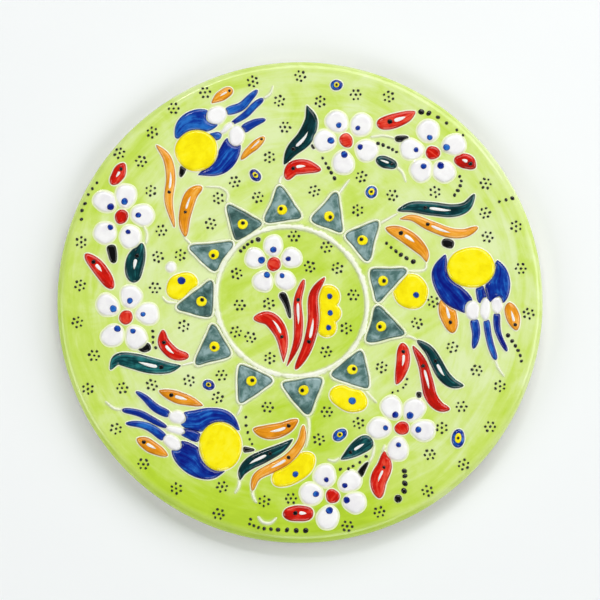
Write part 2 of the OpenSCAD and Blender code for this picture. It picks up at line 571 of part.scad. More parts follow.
module blossom_petal_shapes(i, grow = 0) {
    flower = BLOSSOMS[i - 1];
    k = blossom_scale[i - 1];
    for (j = [0:4])
        polygon(egg(
            flower[0] + polar(k * petal_at + 0.3 * wobble(i, j), flower[1][j]),
            k * petal_half, k * petal_width(flower[1], j), flower[1][j], 0.13, grow
        ));
}

module blossom_petals(i) {
    color("#f7f5f2") flat_pad(ground_z, pad_h) difference() {
        blossom_petal_shapes(i);
        polygon(egg(BLOSSOMS[i - 1][0], centre_r, centre_r, 0, 0, gap));
    }
}

module blossom_stamens(i) {
    flower = BLOSSOMS[i - 1];
    color("#173a9c") for (j = [0:4])
        round_drop(
            flower[0] + polar(blossom_scale[i - 1] * stamen_at + 0.5 * wobble(i, j + 2), flower[1][j]),
            stamen_r + 0.2 * wobble(i, j + 4), pad_top_z, top_h
        );
}

module blossom_centre(i) {
    color("#dc2f1c") flat_pad(ground_z, pad_h)
        polygon(egg(BLOSSOMS[i - 1][0], centre_r * 1.05, centre_r * 0.92, 60 * i, 0.1));
}

// ---- Tulips ----

module tulip_cup_shape(i, grow = 0) {
    cup = TULIP_CUPS[i - 1];
    polygon(egg(cup[0], cup[1][0], cup[1][1], 0, 0, grow));
}

module tulip_cup(i) {
    color("#fdee16") flat_pad(ground_z, pad_h) difference() {
        tulip_cup_shape(i);
        knuckle_shapes(i, gap);
    }
}

module tulip_petals(i) {
    middle = TULIP_PETALS[i - 1][2];
    color("#0c3ba6") flat_pad(ground_z, pad_h) difference() {
        union() {
            difference() {
                for (j = [0, 1]) polygon(stroke(TULIP_PETALS[i - 1][j][0], TULIP_PETALS[i - 1][j][1]));
                polygon(stroke(middle[0], middle[1], gap));
            }
            polygon(stroke(middle[0], middle[1]));
        }
        tulip_cup_shape(i, gap);
        knuckle_shapes(i, gap);
    }
}

module tulip_knuckles(i) {
    color("#f7f5f2") flat_pad(ground_z, pad_h) knuckle_shapes(i);
}

module tulip_fingers(i) {
    color("#0f4ab2") flat_pad(ground_z, pad_h) difference() {
        tulip_finger_shapes(i);
        knuckle_shapes(i, gap);
    }
}

// ---- Leaves, buds and what is laid on them ----

module red_leaves() {
    color("#d62a17") leaf_pads(RED_LEAVES);
}

module orange_leaves() {
    color("#f29a1c") leaf_pads(ORANGE_LEAVES);
}

module green_leaves() {
    color("#0d4f50") leaf_pads(GREEN_LEAVES);
}

module centre_red_leaves() {
    color("#d62a17") leaf_pads(CENTRE_LEAVES);
}

module leaf_white_streaks() {
    color("#fbfaf6") flat_pad(pad_top_z, top_h) for (leaf = all_leaves()) {
        mark = leaf[2];
        side = mark[1] > mark[0] ? 1 : -1;
        start = mark[0] + side * (leaf_dot_r(leaf) + gap) / curve_length(leaf[1]);
        spine = [for (u = [0, 0.33, 0.67, 1]) curve_at(leaf[1], start + u * (mark[1] - start))];
        polygon(stroke([mark[2] * 0.75, mark[2] * 0.8, 0.15], spine));
    }
}

module leaf_black_dots() {
    color("#15140e") for (leaf = all_leaves())
        round_drop(curve_at(leaf[1], leaf[2][0]), leaf_dot_r(leaf), pad_top_z, top_h);
}

module yellow_buds() {
    color("#fdee16") flat_pad(ground_z, pad_h) difference() {
        for (bud = BUDS) polygon(egg(bud[0], bud[1][0], bud[1][1], bud[2]));
        tooth_shapes(gap + crown_line_w + gap);
        leaf_shapes(ORANGE_LEAVES, gap);
    }
}

module centre_yellow_wing() {
    color("#fdee16") flat_pad(ground_z, pad_h) difference() {
        for (lobe = WING_LOBES) polygon(egg(lobe[0], lobe[1], lobe[2]));
        leaf_shapes(CENTRE_LEAVES, gap * 1.5);
    }
}

module white_bud_cap() {
    color("#f7f5f2") flat_pad(ground_z, pad_h) polygon(egg(bud_cap, 1.8, 2, 0));
}

module bud_blue_dots() {
    color("#173a9c") {
        for (bud = BUDS) round_drop(bud[3], bud[4], pad_top_z, top_h);
        for (spot = WING_DOTS) round_drop(spot, wing_dot_r, pad_top_z, top_h);
    }
}

module black_calyxes() {
    color("#15140e") flat_pad(ground_z, pad_h) difference() {
        for (stem = CALYXES) polygon(stroke(stem[0], stem[1]));
        for (i = [1:7]) blossom_petal_shapes(i, gap);
        for (i = [1:3]) tulip_cup_shape(i, gap);
    }
}

// ---- Eye beads and slip dots ----

module bead_blue_rings() {
    color("#12308c") flat_pad(ground_z, pad_h) for (bead = BEADS)
        polygon(egg(bead[0], bead[1][0], bead[1][1], bead[2]));
}

module bead_yellow_drops() {
    color("#f4e04a") flat_pad(pad_top_z, top_h) for (bead = BEADS)
        polygon(egg(bead[0], bead[3][0], bead[3][1], bead[2]));
}

module bead_black_dots() {
    color("#15140e") for (bead = BEADS) round_drop(bead[0], bead_dot_r, pad_top_z + top_h, top_h);
}

module dot_clusters() {
    color("#17160a") for (i = [0:len(CLUSTERS) - 1]) {
        round_drop(CLUSTERS[i], dot_d / 2, ground_z, dot_h);
        for (j = [0:5])
            round_drop(
                CLUSTERS[i] + polar(cluster_r * (1 + 0.06 * wobble(i, j)), 60 * j + 37 * i + 4 * wobble(j, i)),
                dot_d / 2 * (1 + 0.1 * wobble(i + 3, j)), ground_z, dot_h
            );
    }
}

module dot_rows() {
    color("#17160a") for (row = DOT_ROWS) {
        last = len(row[2]) - 1;
        for (j = [0:last])
            round_drop(row[2][j], row[0] + (row[1] - row[0]) * j / last, ground_z, dot_h);
    }
}

module big_row_dots() {
    color("#17160a") for (spot = BIG_DOTS) round_drop(spot[0], spot[1], ground_z, pad_h);
}

ceramic_body();
ground_glaze();
cork_pad();
cork_adhesive();
medallion_ring();
crown_petals();
crown_outlines();
crown_yellow_drops();
crown_black_dots();
branch_lines();
red_leaves();
orange_leaves();
green_leaves();
centre_red_leaves();
leaf_white_streaks();
leaf_black_dots();
yellow_buds();
centre_yellow_wing();
white_bud_cap();
bud_blue_dots();
black_calyxes();
bead_blue_rings();
bead_yellow_drops();
bead_black_dots();
dot_clusters();
dot_rows();
big_row_dots();
for (i = [1:7]) {
    blossom_petals(i);
    blossom_stamens(i);
    blossom_centre(i);
}
for (i = [1:3]) {
    tulip_cup(i);
    tulip_petals(i);
    tulip_knuckles(i);
    tulip_fingers(i);
}
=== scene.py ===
"""Looks for a hand painted ceramic plate: a flat glazed disc with raised enamel motifs.

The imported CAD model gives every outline. Each flat CAD pad becomes a poured, rounded deposit
of glass enamel with a soft skirt where it wetted the glaze round it.
"""

import json
import logging
import math
from dataclasses import dataclass, field
from enum import Enum

import bpy
import numpy as np
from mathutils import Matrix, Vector

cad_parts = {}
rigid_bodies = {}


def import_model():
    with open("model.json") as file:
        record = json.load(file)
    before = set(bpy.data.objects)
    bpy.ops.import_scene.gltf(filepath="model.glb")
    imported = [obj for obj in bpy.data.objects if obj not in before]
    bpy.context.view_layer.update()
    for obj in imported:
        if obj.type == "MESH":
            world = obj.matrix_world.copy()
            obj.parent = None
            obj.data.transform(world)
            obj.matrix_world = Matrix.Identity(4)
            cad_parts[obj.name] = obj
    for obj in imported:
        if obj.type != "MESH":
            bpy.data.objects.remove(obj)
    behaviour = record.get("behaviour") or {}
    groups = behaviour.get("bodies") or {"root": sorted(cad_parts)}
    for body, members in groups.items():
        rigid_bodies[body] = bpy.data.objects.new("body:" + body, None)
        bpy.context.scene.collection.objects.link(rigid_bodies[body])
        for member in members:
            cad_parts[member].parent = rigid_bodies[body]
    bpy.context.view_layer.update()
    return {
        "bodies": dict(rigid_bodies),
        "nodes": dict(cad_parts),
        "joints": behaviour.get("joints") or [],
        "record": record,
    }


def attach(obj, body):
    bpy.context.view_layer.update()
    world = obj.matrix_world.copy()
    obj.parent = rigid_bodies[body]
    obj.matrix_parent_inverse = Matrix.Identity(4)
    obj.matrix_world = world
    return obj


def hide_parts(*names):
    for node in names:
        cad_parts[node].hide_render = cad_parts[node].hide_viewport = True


LOG = logging.getLogger("plate")
# Metres in a millimetre. Every length below is in millimetres.
MM = 0.001
TINY = 1e-6
# Top of the ground glaze, how far a deposit's hidden rows go below its base, how far the foot
# of a line sinks into the glaze, and how far the crown's outlines stray
GROUND_Z = 8.7
BURIED = 0.3
FOOT_SINK = -0.02
CROWN_WAVER = 0.32
# Skirt rows round a deposit: share of the skirt's width, and height over the base
SKIRT_ROWS = [(1.0, -0.04), (0.7, 0.06), (0.35, 0.1)]
# The sines of a hand's waver: share, turns and shift of each, and how its place sets them
WAVER_SINES = [(0.5, 2, 1.0), (0.3, 3, 1.7), (0.2, 5, 2.9)]
WAVER_KEY = (1.3, 2.1)
# Most rounding as a share of the perimeter, how rows crowd to the edge, how far a ridge stops
# short of a tip as a share of the length, and the angles of a line's half-round section
SOFTEN_SHARE = 0.035
LEVEL_POWER = 1.35
TIP_INSET = 0.12
BEAD_SECTION = [180, 168, 150, 128, 106, 84, 62, 40, 18, 6, 0]
# Radii at which the pattern of a lathed piece, and of the brushed ground, runs true
PATTERN_RADIUS = 60
BRUSH_RADIUS = 85


class Form(Enum):
    """How a deposit was laid, which sets the way its surface is swept."""

    BLOB = "poured drop, rising to one middle point"
    STROKE = "drawn stroke, rising to a ridge between its two tips"


@dataclass(frozen=True)
class Lay:
    """How thick and how round one kind of deposit lies, in millimetres."""

    form: Form
    base: float
    height: float
    round_over: float
    columns: int = 96
    levels: int = 12
    skirt: float = 0.5
    soften: float = 0.25
    edge_lift: float = 0.12
    dish: float = 0.0
    grow: float = 0.0
    waver: float = 0.0


@dataclass
class Surface:
    """Vertices in millimetres, faces, and what the finish reads at each vertex."""

    points: np.ndarray
    faces: list
    along: np.ndarray
    edge: np.ndarray
    shade: np.ndarray
    extra: dict = field(default_factory=dict)


def linear(hex_colour: str) -> tuple[float, float, float, float]:
    """Turn an sRGB hex colour into linear light.

    Args:
        hex_colour: six hex digits with a leading hash.

    Returns:
        Red, green, blue and an alpha of one.
    """
    parts = np.array([int(hex_colour[i : i + 2], 16) for i in (1, 3, 5)]) / 255.0
    low = parts / 12.92
    high = ((parts + 0.055) / 1.055) ** 2.4
    return (*[float(v) for v in np.where(parts <= 0.04045, low, high)], 1.0)


def blank(name: str) -> tuple[bpy.types.Material, bpy.types.NodeTree]:
    """Start a material with an empty node tree."""
    material = bpy.data.materials.new(name)
    material.use_nodes = True
    material.node_tree.nodes.clear()
    return material, material.node_tree


def add(tree: bpy.types.NodeTree, kind: str, inputs: dict | None = None, **settings) -> bpy.types.Node:
    """Add one shader node, set it up and link it.

    Args:
        tree: node tree that takes the node.
        kind: the node's type name, without its ShaderNode prefix.
        inputs: socket name or number to a value, to an output socket, or to a node whose first
            live output is linked.
        settings: properties of the node itself.

    Returns:
        The new node.
    """
    node = tree.nodes.new("ShaderNode" + kind)
    for name, value in settings.items():
        setattr(node, name, value)
    for key, value in (inputs or {}).items():
        socket = node.inputs[key]
        if isinstance(value, bpy.types.Node):
            value = next(output for output in value.outputs if output.enabled)
        if isinstance(value, bpy.types.NodeSocket):
            tree.links.new(value, socket)
        elif isinstance(value, str):
            socket.default_value = linear(value)
        else:
            socket.default_value = value
    return node


def tinted(tree: bpy.types.NodeTree, start: str, steps: list[tuple[dict, str]]) -> bpy.types.Node:
    """Lay tints over a colour one after another.

    Args:
        tree: node tree that takes the nodes.
        start: hex colour underneath.
        steps: for each tint, the range that turns a value into its cover, and its hex colour.

    Returns:
        The node whose live output is the finished colour.
    """
    colour = start
    for cover, tint in steps:
        share = add(tree, "MapRange", cover)
        colour = add(tree, "Mix", {0: share, 6: colour, 7: tint}, data_type="RGBA")
    return colour


def smooth_loop(loop: np.ndarray, sigma: float) -> np.ndarray:
    """Round a closed outline with a Gaussian low-pass along its length.

    Args:
        loop: evenly spaced outline points, N by 2.
        sigma: width of the Gaussian in millimetres.

    Returns:
        The rounded outline, the same shape as the input.
    """
    step = np.linalg.norm(np.roll(loop, -1, axis=0) - loop, axis=1)
    wave = 2 * np.pi * np.fft.fftfreq(len(loop), d=max(step.mean(), 1e-6))
    flat = np.fft.fft(loop[:, 0] + 1j * loop[:, 1]) * np.exp(-0.5 * (wave * sigma) ** 2)
    back = np.fft.ifft(flat)
    return np.stack([back.real, back.imag], axis=1)


def run_of(path: np.ndarray) -> np.ndarray:
    """Length run from a path's start to each of its points."""
    return np.concatenate([[0], np.cumsum(np.linalg.norm(np.diff(path, axis=0), axis=1))])


def even_loop(loop: np.ndarray, count: int) -> np.ndarray:
    """Space points evenly along a closed outline.

    Args:
        loop: outline points, N by 2.
        count: number of points wanted.

    Returns:
        Points at equal arc length, count by 2.
    """
    closed = np.vstack([loop, loop[:1]])
    arc = run_of(closed)
    at = np.linspace(0, arc[-1], count, endpoint=False)
    return np.stack([np.interp(at, arc, closed[:, i]) for i in (0, 1)], axis=1)


def spaced_path(path: np.ndarray, shares: np.ndarray) -> np.ndarray:
    """Place points on an open path at given shares of its length.

    Args:
        path: path points, N by 2.
        shares: shares of the whole length, from 0 to 1.

    Returns:
        The points, one row for each share.
    """
    arc = run_of(path)
    return np.stack([np.interp(shares * arc[-1], arc, path[:, i]) for i in (0, 1)], axis=1)


def outward(loop: np.ndarray) -> np.ndarray:
    """Unit normals that point out of a counter-clockwise outline, from its central tangent."""
    tangent = np.roll(loop, -1, axis=0) - np.roll(loop, 1, axis=0)
    tangent /= np.maximum(np.linalg.norm(tangent, axis=1, keepdims=True), 1e-9)
    return np.stack([tangent[:, 1], -tangent[:, 0]], axis=1)


def wavered(loop: np.ndarray, amount: float) -> np.ndarray:
    """Let an outline stray as a hand does.

    It moves along its normal by sines of two, three and five turns round it. Their phases come
    from where its middle lies, so a line laid round a deposit strays with the deposit.

    Args:
        loop: evenly spaced counter-clockwise outline, in millimetres.
        amount: the most that it may stray.

    Returns:
        The strayed outline.
    """
    turn = 2 * np.pi * np.arange(len(loop)) / len(loop)
    key = float(loop.mean(axis=0) @ WAVER_KEY)
    swell = sum(share * np.sin(k * turn + shift * key) for share, k, shift in WAVER_SINES)
    return loop + amount * swell[:, None] * outward(loop)


def outline_distance(points: np.ndarray, loop: np.ndarray) -> np.ndarray:
    """Distance from each point to a closed outline, as the nearest of its straight segments.

    Args:
        points: query points, N by 2.
        loop: outline points, M by 2.

    Returns:
        N distances in the outline's unit.
    """
    start = loop[None]
    run = np.roll(loop, -1, axis=0)[None] - start
    to = points[:, None] - start
    share = np.clip((to * run).sum(2) / np.maximum((run * run).sum(2), 1e-12), 0, 1)
    return np.sqrt((((to - share[..., None] * run) ** 2).sum(2)).min(1))


def signed_area(loop: np.ndarray) -> float:
    """Area inside an outline, positive when it runs counter-clockwise (shoelace formula)."""
    nxt = np.roll(loop, -1, axis=0)
    return float(0.5 * (loop[:, 0] * nxt[:, 1] - nxt[:, 0] * loop[:, 1]).sum())


def top_outlines(node: bpy.types.Object) -> list[np.ndarray]:
    """Read the outlines of a CAD node's top faces.

    A triangle of the top whose edge has no partner running the other way lies on an outline.
    Each such edge gives its start vertex a successor. Pointer doubling then labels every loop
    by its smallest vertex, and list ranking orders the vertices round it.

    Args:
        node: the CAD object.

    Returns:
        Outlines in millimetres, counter-clockwise round a solid and clockwise round a hole.
    """
    mesh = node.data
    flat = np.empty(len(mesh.vertices) * 3)
    mesh.vertices.foreach_get("co", flat)
    mesh.calc_loop_triangles()
    tris = np.empty(len(mesh.loop_triangles) * 3, dtype=np.int64)
    mesh.loop_triangles.foreach_get("vertices", tris)
    points, index = np.unique(np.round(flat.reshape(-1, 3) / MM, 3), axis=0, return_inverse=True)
    tris = index.reshape(-1)[tris].reshape(-1, 3)
    tris = tris[(points[tris][:, :, 2] > points[:, 2].max() - 0.01).all(axis=1)]
    corner = points[tris][:, :, :2]
    turn = np.cross(corner[:, 1] - corner[:, 0], corner[:, 2] - corner[:, 0])
    tris = np.where(turn[:, None] < 0, tris[:, ::-1], tris)[np.abs(turn) > 1e-9]
    edges = np.concatenate([tris[:, [0, 1]], tris[:, [1, 2]], tris[:, [2, 0]]])
    span = len(points)
    code = edges[:, 0] * span + edges[:, 1]
    edges = edges[~np.isin(code, edges[:, 1] * span + edges[:, 0])]
    used, flat_edges = np.unique(edges, return_inverse=True)
    flat_edges = flat_edges.reshape(-1, 2)
    size = len(used)
    follow = np.arange(size)
    follow[flat_edges[:, 0]] = flat_edges[:, 1]
    label, jump = np.arange(size), follow.copy()
    rounds = int(math.ceil(math.log2(max(size, 2)))) + 1
    for _ in range(rounds):
        label = np.minimum(label, label[jump])
        jump = jump[jump]
    root = label == np.arange(size)
    rank = np.where(root, 0, 1)
    jump = np.where(root, np.arange(size), follow)
    for _ in range(rounds):
        rank = rank + rank[jump]
        jump = jump[jump]
    order = np.lexsort((np.where(root, -size, -rank), label))
    cuts = np.flatnonzero(np.diff(label[order])) + 1
    loops = [points[used[part]][:, :2] for part in np.split(order, cuts)]
    return [loop for loop in loops if len(loop) > 3 and abs(signed_area(loop)) > 0.02]


def grid_faces(rows: int, columns: int) -> np.ndarray:
    """Quads between the rows of a grid whose columns run round counter-clockwise.

    Args:
        rows: number of rows, from the outside in.
        columns: number of columns.

    Returns:
        Vertex numbers, one row of four for each quad, facing up.
    """
    r, c = np.meshgrid(np.arange(rows - 1) * columns, np.arange(columns), indexing="ij")
    nxt = (c + 1) % columns
    return np.stack([r + c, r + nxt, r + columns + nxt, r + columns + c], axis=-1).reshape(-1, 4)


def dome(distance: np.ndarray, lay: Lay) -> np.ndarray:
    """Height of a deposit over its base, at each distance in from its outline.

    The section is a quarter ellipse over the round-over width, then level, less a shallow dish
    where thick enamel sank as it fired.

    Args:
        distance: distance in from the outline, in millimetres.
        lay: the deposit's thickness and roundness.

    Returns:
        Heights in millimetres.
    """
    share = np.clip(distance / lay.round_over, 0, 1)
    rise = lay.edge_lift + (lay.height - lay.edge_lift) * np.sqrt(1 - (1 - share) ** 2)
    sunk = np.clip((distance - lay.round_over) / lay.round_over, 0, 1)
    return rise - lay.dish * sunk * sunk * (3 - 2 * sunk)


def stroke_columns(loop: np.ndarray, half: int) -> tuple[np.ndarray, np.ndarray, np.ndarray]:
    """Lay columns round an outline so that they pair up across it.

    The two outline points that lie farthest apart are the tips. Both sides between them are
    spaced by u = (1 - cos(pi j / half)) / 2, so that columns gather at the tips.

    Args:
        loop: counter-clockwise outline.
        half: number of steps along one side.

    Returns:
        Outline columns, the middle curve's point for each, and how far along each one lies.
    """
    far = np.linalg.norm(loop[:, None] - loop[None], axis=2)
    a, b = np.unravel_index(int(far.argmax()), far.shape)
    ring = np.roll(loop, -a, axis=0)
    cut = (b - a) % len(loop)
    u = 0.5 * (1 - np.cos(np.pi * np.arange(half + 1) / half))
    ahead, back = ring[: cut + 1], np.vstack([ring[cut:], ring[:1]])[::-1]
    first, second = spaced_path(ahead, u), spaced_path(back, u)
    inset = min(TIP_INSET, 0.5 * np.linalg.norm(first - second, axis=1).max() / max(far.max(), TINY))
    inner = inset + (1 - 2 * inset) * u
    middle = 0.5 * (spaced_path(ahead, inner) + spaced_path(back, inner))
    middle_arc = run_of(middle)
    columns = np.vstack([first, second[1:-1][::-1]])
    centres = np.vstack([middle, middle[1:-1][::-1]])
    return columns, centres, np.concatenate([middle_arc, middle_arc[1:-1][::-1]])


def cushion(outline: np.ndarray, lay: Lay, shade: float, spin: float) -> Surface:
    """Sweep one deposit of enamel over an outline.

    Columns s run round the outline P(s) and rows t run from outside in: two rows of skirt
    stand outside it, then P + (C - P) g(t) climbs to the middle C(s), with the height taken
    from each point's true distance to the outline. Buried rows close it from below.

    Args:
        outline: counter-clockwise outline in millimetres.
        lay: thickness and roundness.
        shade: this deposit's own lightness, from -1 to 1.
        spin: angle that turns its brush grain, in radians.

    Returns:
        The closed surface.
    """
    dense = even_loop(outline, 4 * lay.columns)
    perimeter = np.linalg.norm(np.roll(dense, -1, axis=0) - dense, axis=1).sum()
    dense = smooth_loop(dense, min(lay.soften, SOFTEN_SHARE * perimeter))
    dense = wavered(dense + lay.grow * outward(dense), lay.waver)
    stroke = lay.form is Form.STROKE
    if stroke:
        rim, middle, arc = stroke_columns(dense, lay.columns // 2)
    else:
        rim = even_loop(dense, lay.columns)
        centre = dense.mean(axis=0)
        middle = np.repeat(centre[None], lay.columns, axis=0)
        arc = np.zeros(lay.columns)
    normal = outward(rim)
    share = np.linspace(0, 1, lay.levels) ** LEVEL_POWER
    skirt = SKIRT_ROWS if lay.skirt else []
    rows, edge = [], []
    for reach, lift in skirt:
        flat = rim + reach * lay.skirt * normal
        rows.append(np.column_stack([flat, np.full(lay.columns, lay.base + lift)]))
        edge.append(np.full(lay.columns, -reach * lay.skirt))
    for g in share:
        flat = rim + g * (middle - rim)
        depth = outline_distance(flat, dense)
        depth = depth if g > 0 else np.zeros(lay.columns)
        rows.append(np.column_stack([flat, lay.base + dome(depth, lay)]))
        edge.append(depth)
    outer = rows[0][:, :2]
    floor_z = np.full(lay.columns, lay.base - BURIED)
    below = [np.column_stack([flat, floor_z]) for flat in (outer, middle)]
    top = len(rows)
    points = np.vstack(rows)
    quads = grid_faces(top, lay.columns)
    start_low = len(points)
    points = np.vstack([points, *below])
    ring = np.arange(lay.columns)
    nxt = (ring + 1) % lay.columns
    wall = np.column_stack([start_low + ring, start_low + nxt, nxt, ring])
    under = grid_faces(2, lay.columns)[:, ::-1] + start_low
    faces = np.vstack([quads, wall, under])
    merge = np.arange(len(points))
    for row in (top - 1, top + 1):
        base = row * lay.columns
        twin = np.minimum(ring, (lay.columns - ring) % lay.columns) if stroke else 0 * ring
        merge[base + ring] = base + twin
    side = np.where(ring <= lay.columns // 2, 1.0, -1.0) if stroke else np.zeros(lay.columns)
    if stroke:
        across = np.linalg.norm(rim - middle, axis=1) * side
        row_shares = [*[0.0] * len(skirt), *share, 0.0, 1.0]
        local = np.vstack([np.column_stack([arc, across * (1 - g)]) for g in row_shares])
    else:
        rel = points[:, :2] - dense.mean(axis=0)
        c, s = math.cos(spin), math.sin(spin)
        local = np.column_stack([c * rel[:, 0] + s * rel[:, 1], c * rel[:, 1] - s * rel[:, 0]])
    along = np.column_stack([local + 37.0 * spin, np.full(len(points), 13.0 * spin)])
    depth = np.concatenate([*edge, np.full(2 * lay.columns, -1.0)])
    return tidy(Surface(points, faces, along, depth, np.full(len(points), shade)), merge)


def tidy(surface: Surface, merge: np.ndarray) -> Surface:
    """Join vertices that share a place, and drop the corners and faces that this leaves empty.

    Args:
        surface: the surface as swept.
        merge: for each vertex the one that stands for it.

    Returns:
        The surface with only its used vertices, as quads and triangles.
    """
    quads = merge[surface.faces]
    repeat = quads == np.roll(quads, -1, axis=1)
    whole = quads[~repeat.any(axis=1)]
    slim = quads[repeat.sum(axis=1) == 1]
    spare = repeat[repeat.sum(axis=1) == 1].argmax(axis=1)
    pick = (spare[:, None] + np.arange(1, 4)) % 4
    triangles = np.take_along_axis(slim, pick, axis=1)
    triangles = triangles[triangles[:, 0] != triangles[:, 2]]
    used = np.unique(np.concatenate([whole.ravel(), triangles.ravel()]))
    renumber = np.zeros(len(surface.points), dtype=int)
    renumber[used] = np.arange(len(used))
    faces = [*renumber[whole].tolist(), *renumber[triangles].tolist()]
    return Surface(surface.points[used], faces, surface.along[used], surface.edge[used], surface.shade[used])


def joined(parts: list[Surface]) -> Surface:
    """Put several surfaces into one, renumbering the faces of each after the vertices before it."""
    starts = np.cumsum([0, *[len(p.points) for p in parts]])
    faces = [tuple(v + int(s) for v in f) for p, s in zip(parts, starts) for f in p.faces]
    fields = ("points", "along", "edge", "shade")
    points, *rest = [np.concatenate([getattr(p, name) for p in parts]) for name in fields]
    return Surface(points, faces, *rest)


def make_object(
    name: str, surface: Surface, material: bpy.types.Material, node: str
) -> bpy.types.Object:
    """Put a surface into the scene as the stand-in for one CAD node.

    Args:
        name: the object's name.
        surface: its shape, in millimetres.
        material: its finish.
        node: the CAD node that it replaces.

    Returns:
        The new object, riding on the plate's only body.
    """
    mesh = bpy.data.meshes.new(name)
    mesh.from_pydata((surface.points * MM).tolist(), [], surface.faces)
    mesh.polygons.foreach_set("use_smooth", np.ones(len(mesh.polygons), dtype=bool))
    brush = mesh.attributes.new("brush", "FLOAT_VECTOR", "POINT")
    brush.data.foreach_set("vector", surface.along.astype(np.float32).ravel())
    for label, values in {"edge_mm": surface.edge, "shade": surface.shade, **surface.extra}.items():
        layer = mesh.attributes.new(label, "FLOAT", "POINT")
        layer.data.foreach_set("value", np.asarray(values, dtype=np.float32).ravel())
    mesh.materials.append(material)
    mesh.update()
    piece = bpy.data.objects.new(name, mesh)
    bpy.context.scene.collection.objects.link(piece)
    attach(piece, "root")
    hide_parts(node)
    LOG.info("%s: %d faces, stands for %s", name, len(mesh.polygons), node)
    return piece


@dataclass(frozen=True)
class Enamel:
    """Raised glass enamel, trailed on the fired glaze and fired again.

    It gives the eye a thick wet gloss, colour that thins and lightens in streaks along the
    stroke, partly painted highlight where the lighter streaks stand in for reflections on the
    dome, and a pale line where it wets the glaze round it.
    """

    name: str
    dark: str
    mid: str
    light: str
    edge: str
    halo: str = "#F3F8DA"
    streak_along: float = 0.10
    streak_across: float = 0.8
    streak_bias: float = 0.5
    streak_reach: float = 0.17
    roughness: float = 0.14
    edge_width: float = 0.35
    bump: float = 0.05
    halo_at: float = -0.16

    def build(self) -> bpy.types.Material:
        """Build the node tree.

        Returns:
            The material. Patterns are in millimetres along and across each stroke.
        """
        material, tree = blank(self.name)
        brush = add(tree, "Attribute", attribute_name="brush").outputs["Vector"]
        edge, shade = [add(tree, "Attribute", attribute_name=n).outputs["Fac"] for n in ("edge_mm", "shade")]
        place = add(tree, "TexCoord").outputs["Object"]
        stretched = add(
            tree, "Mapping", {"Vector": brush, "Scale": (self.streak_along, self.streak_across, 1.0)}
        )
        streak = add(
            tree, "TexNoise",
            {"Vector": stretched, "Scale": 1.0, "Detail": 4.0, "Roughness": 0.6, "Distortion": 0.4},
        )
        cloud = add(tree, "TexNoise", {"Vector": place, "Scale": 260.0, "Detail": 3.0, "Roughness": 0.55})
        tone = add(tree, "Math", {0: streak, 1: 0.62}, operation="MULTIPLY")
        tone = add(tree, "Math", {0: cloud, 1: 0.38, 2: tone}, operation="MULTIPLY_ADD")
        tone = add(tree, "Math", {0: shade, 1: 0.07, 2: tone}, operation="MULTIPLY_ADD")
        low, high = self.streak_bias - self.streak_reach, self.streak_bias + self.streak_reach
        colour = tinted(tree, self.dark, [
            ({"Value": tone, "From Min": low, "From Max": self.streak_bias}, self.mid),
            # The light tint is partly thinner enamel and partly painted highlight: lighter streaks that stand
            # in for soft reflections on the glossy dome.
            ({"Value": tone, "From Min": self.streak_bias, "From Max": high}, self.light),
            ({"Value": edge, "From Min": self.edge_width, "From Max": 0.02, "To Max": 0.85}, self.edge),
            ({"Value": edge, "From Min": 0.02, "From Max": self.halo_at}, self.halo),
        ])
        smooth, dull = 0.7 * self.roughness, 1.5 * self.roughness
        reach = {"From Min": 0.3, "From Max": 0.7, "To Min": smooth, "To Max": dull}
        gloss = add(tree, "MapRange", {"Value": cloud, **reach})
        ripple = add(tree, "TexNoise", {"Vector": place, "Scale": 900.0, "Detail": 2.0, "Roughness": 0.5})
        height = add(tree, "Math", {0: streak, 1: 0.6, 2: ripple}, operation="MULTIPLY_ADD")
        bump = add(tree, "Bump", {"Strength": 0.35, "Distance": self.bump * MM, "Height": height})
        shader = add(
            tree, "BsdfPrincipled",
            {"Base Color": colour, "Roughness": gloss, "IOR": 1.5, "Metallic": 0.0, "Normal": bump},
        )
        add(tree, "OutputMaterial", {"Surface": shader})
        return material


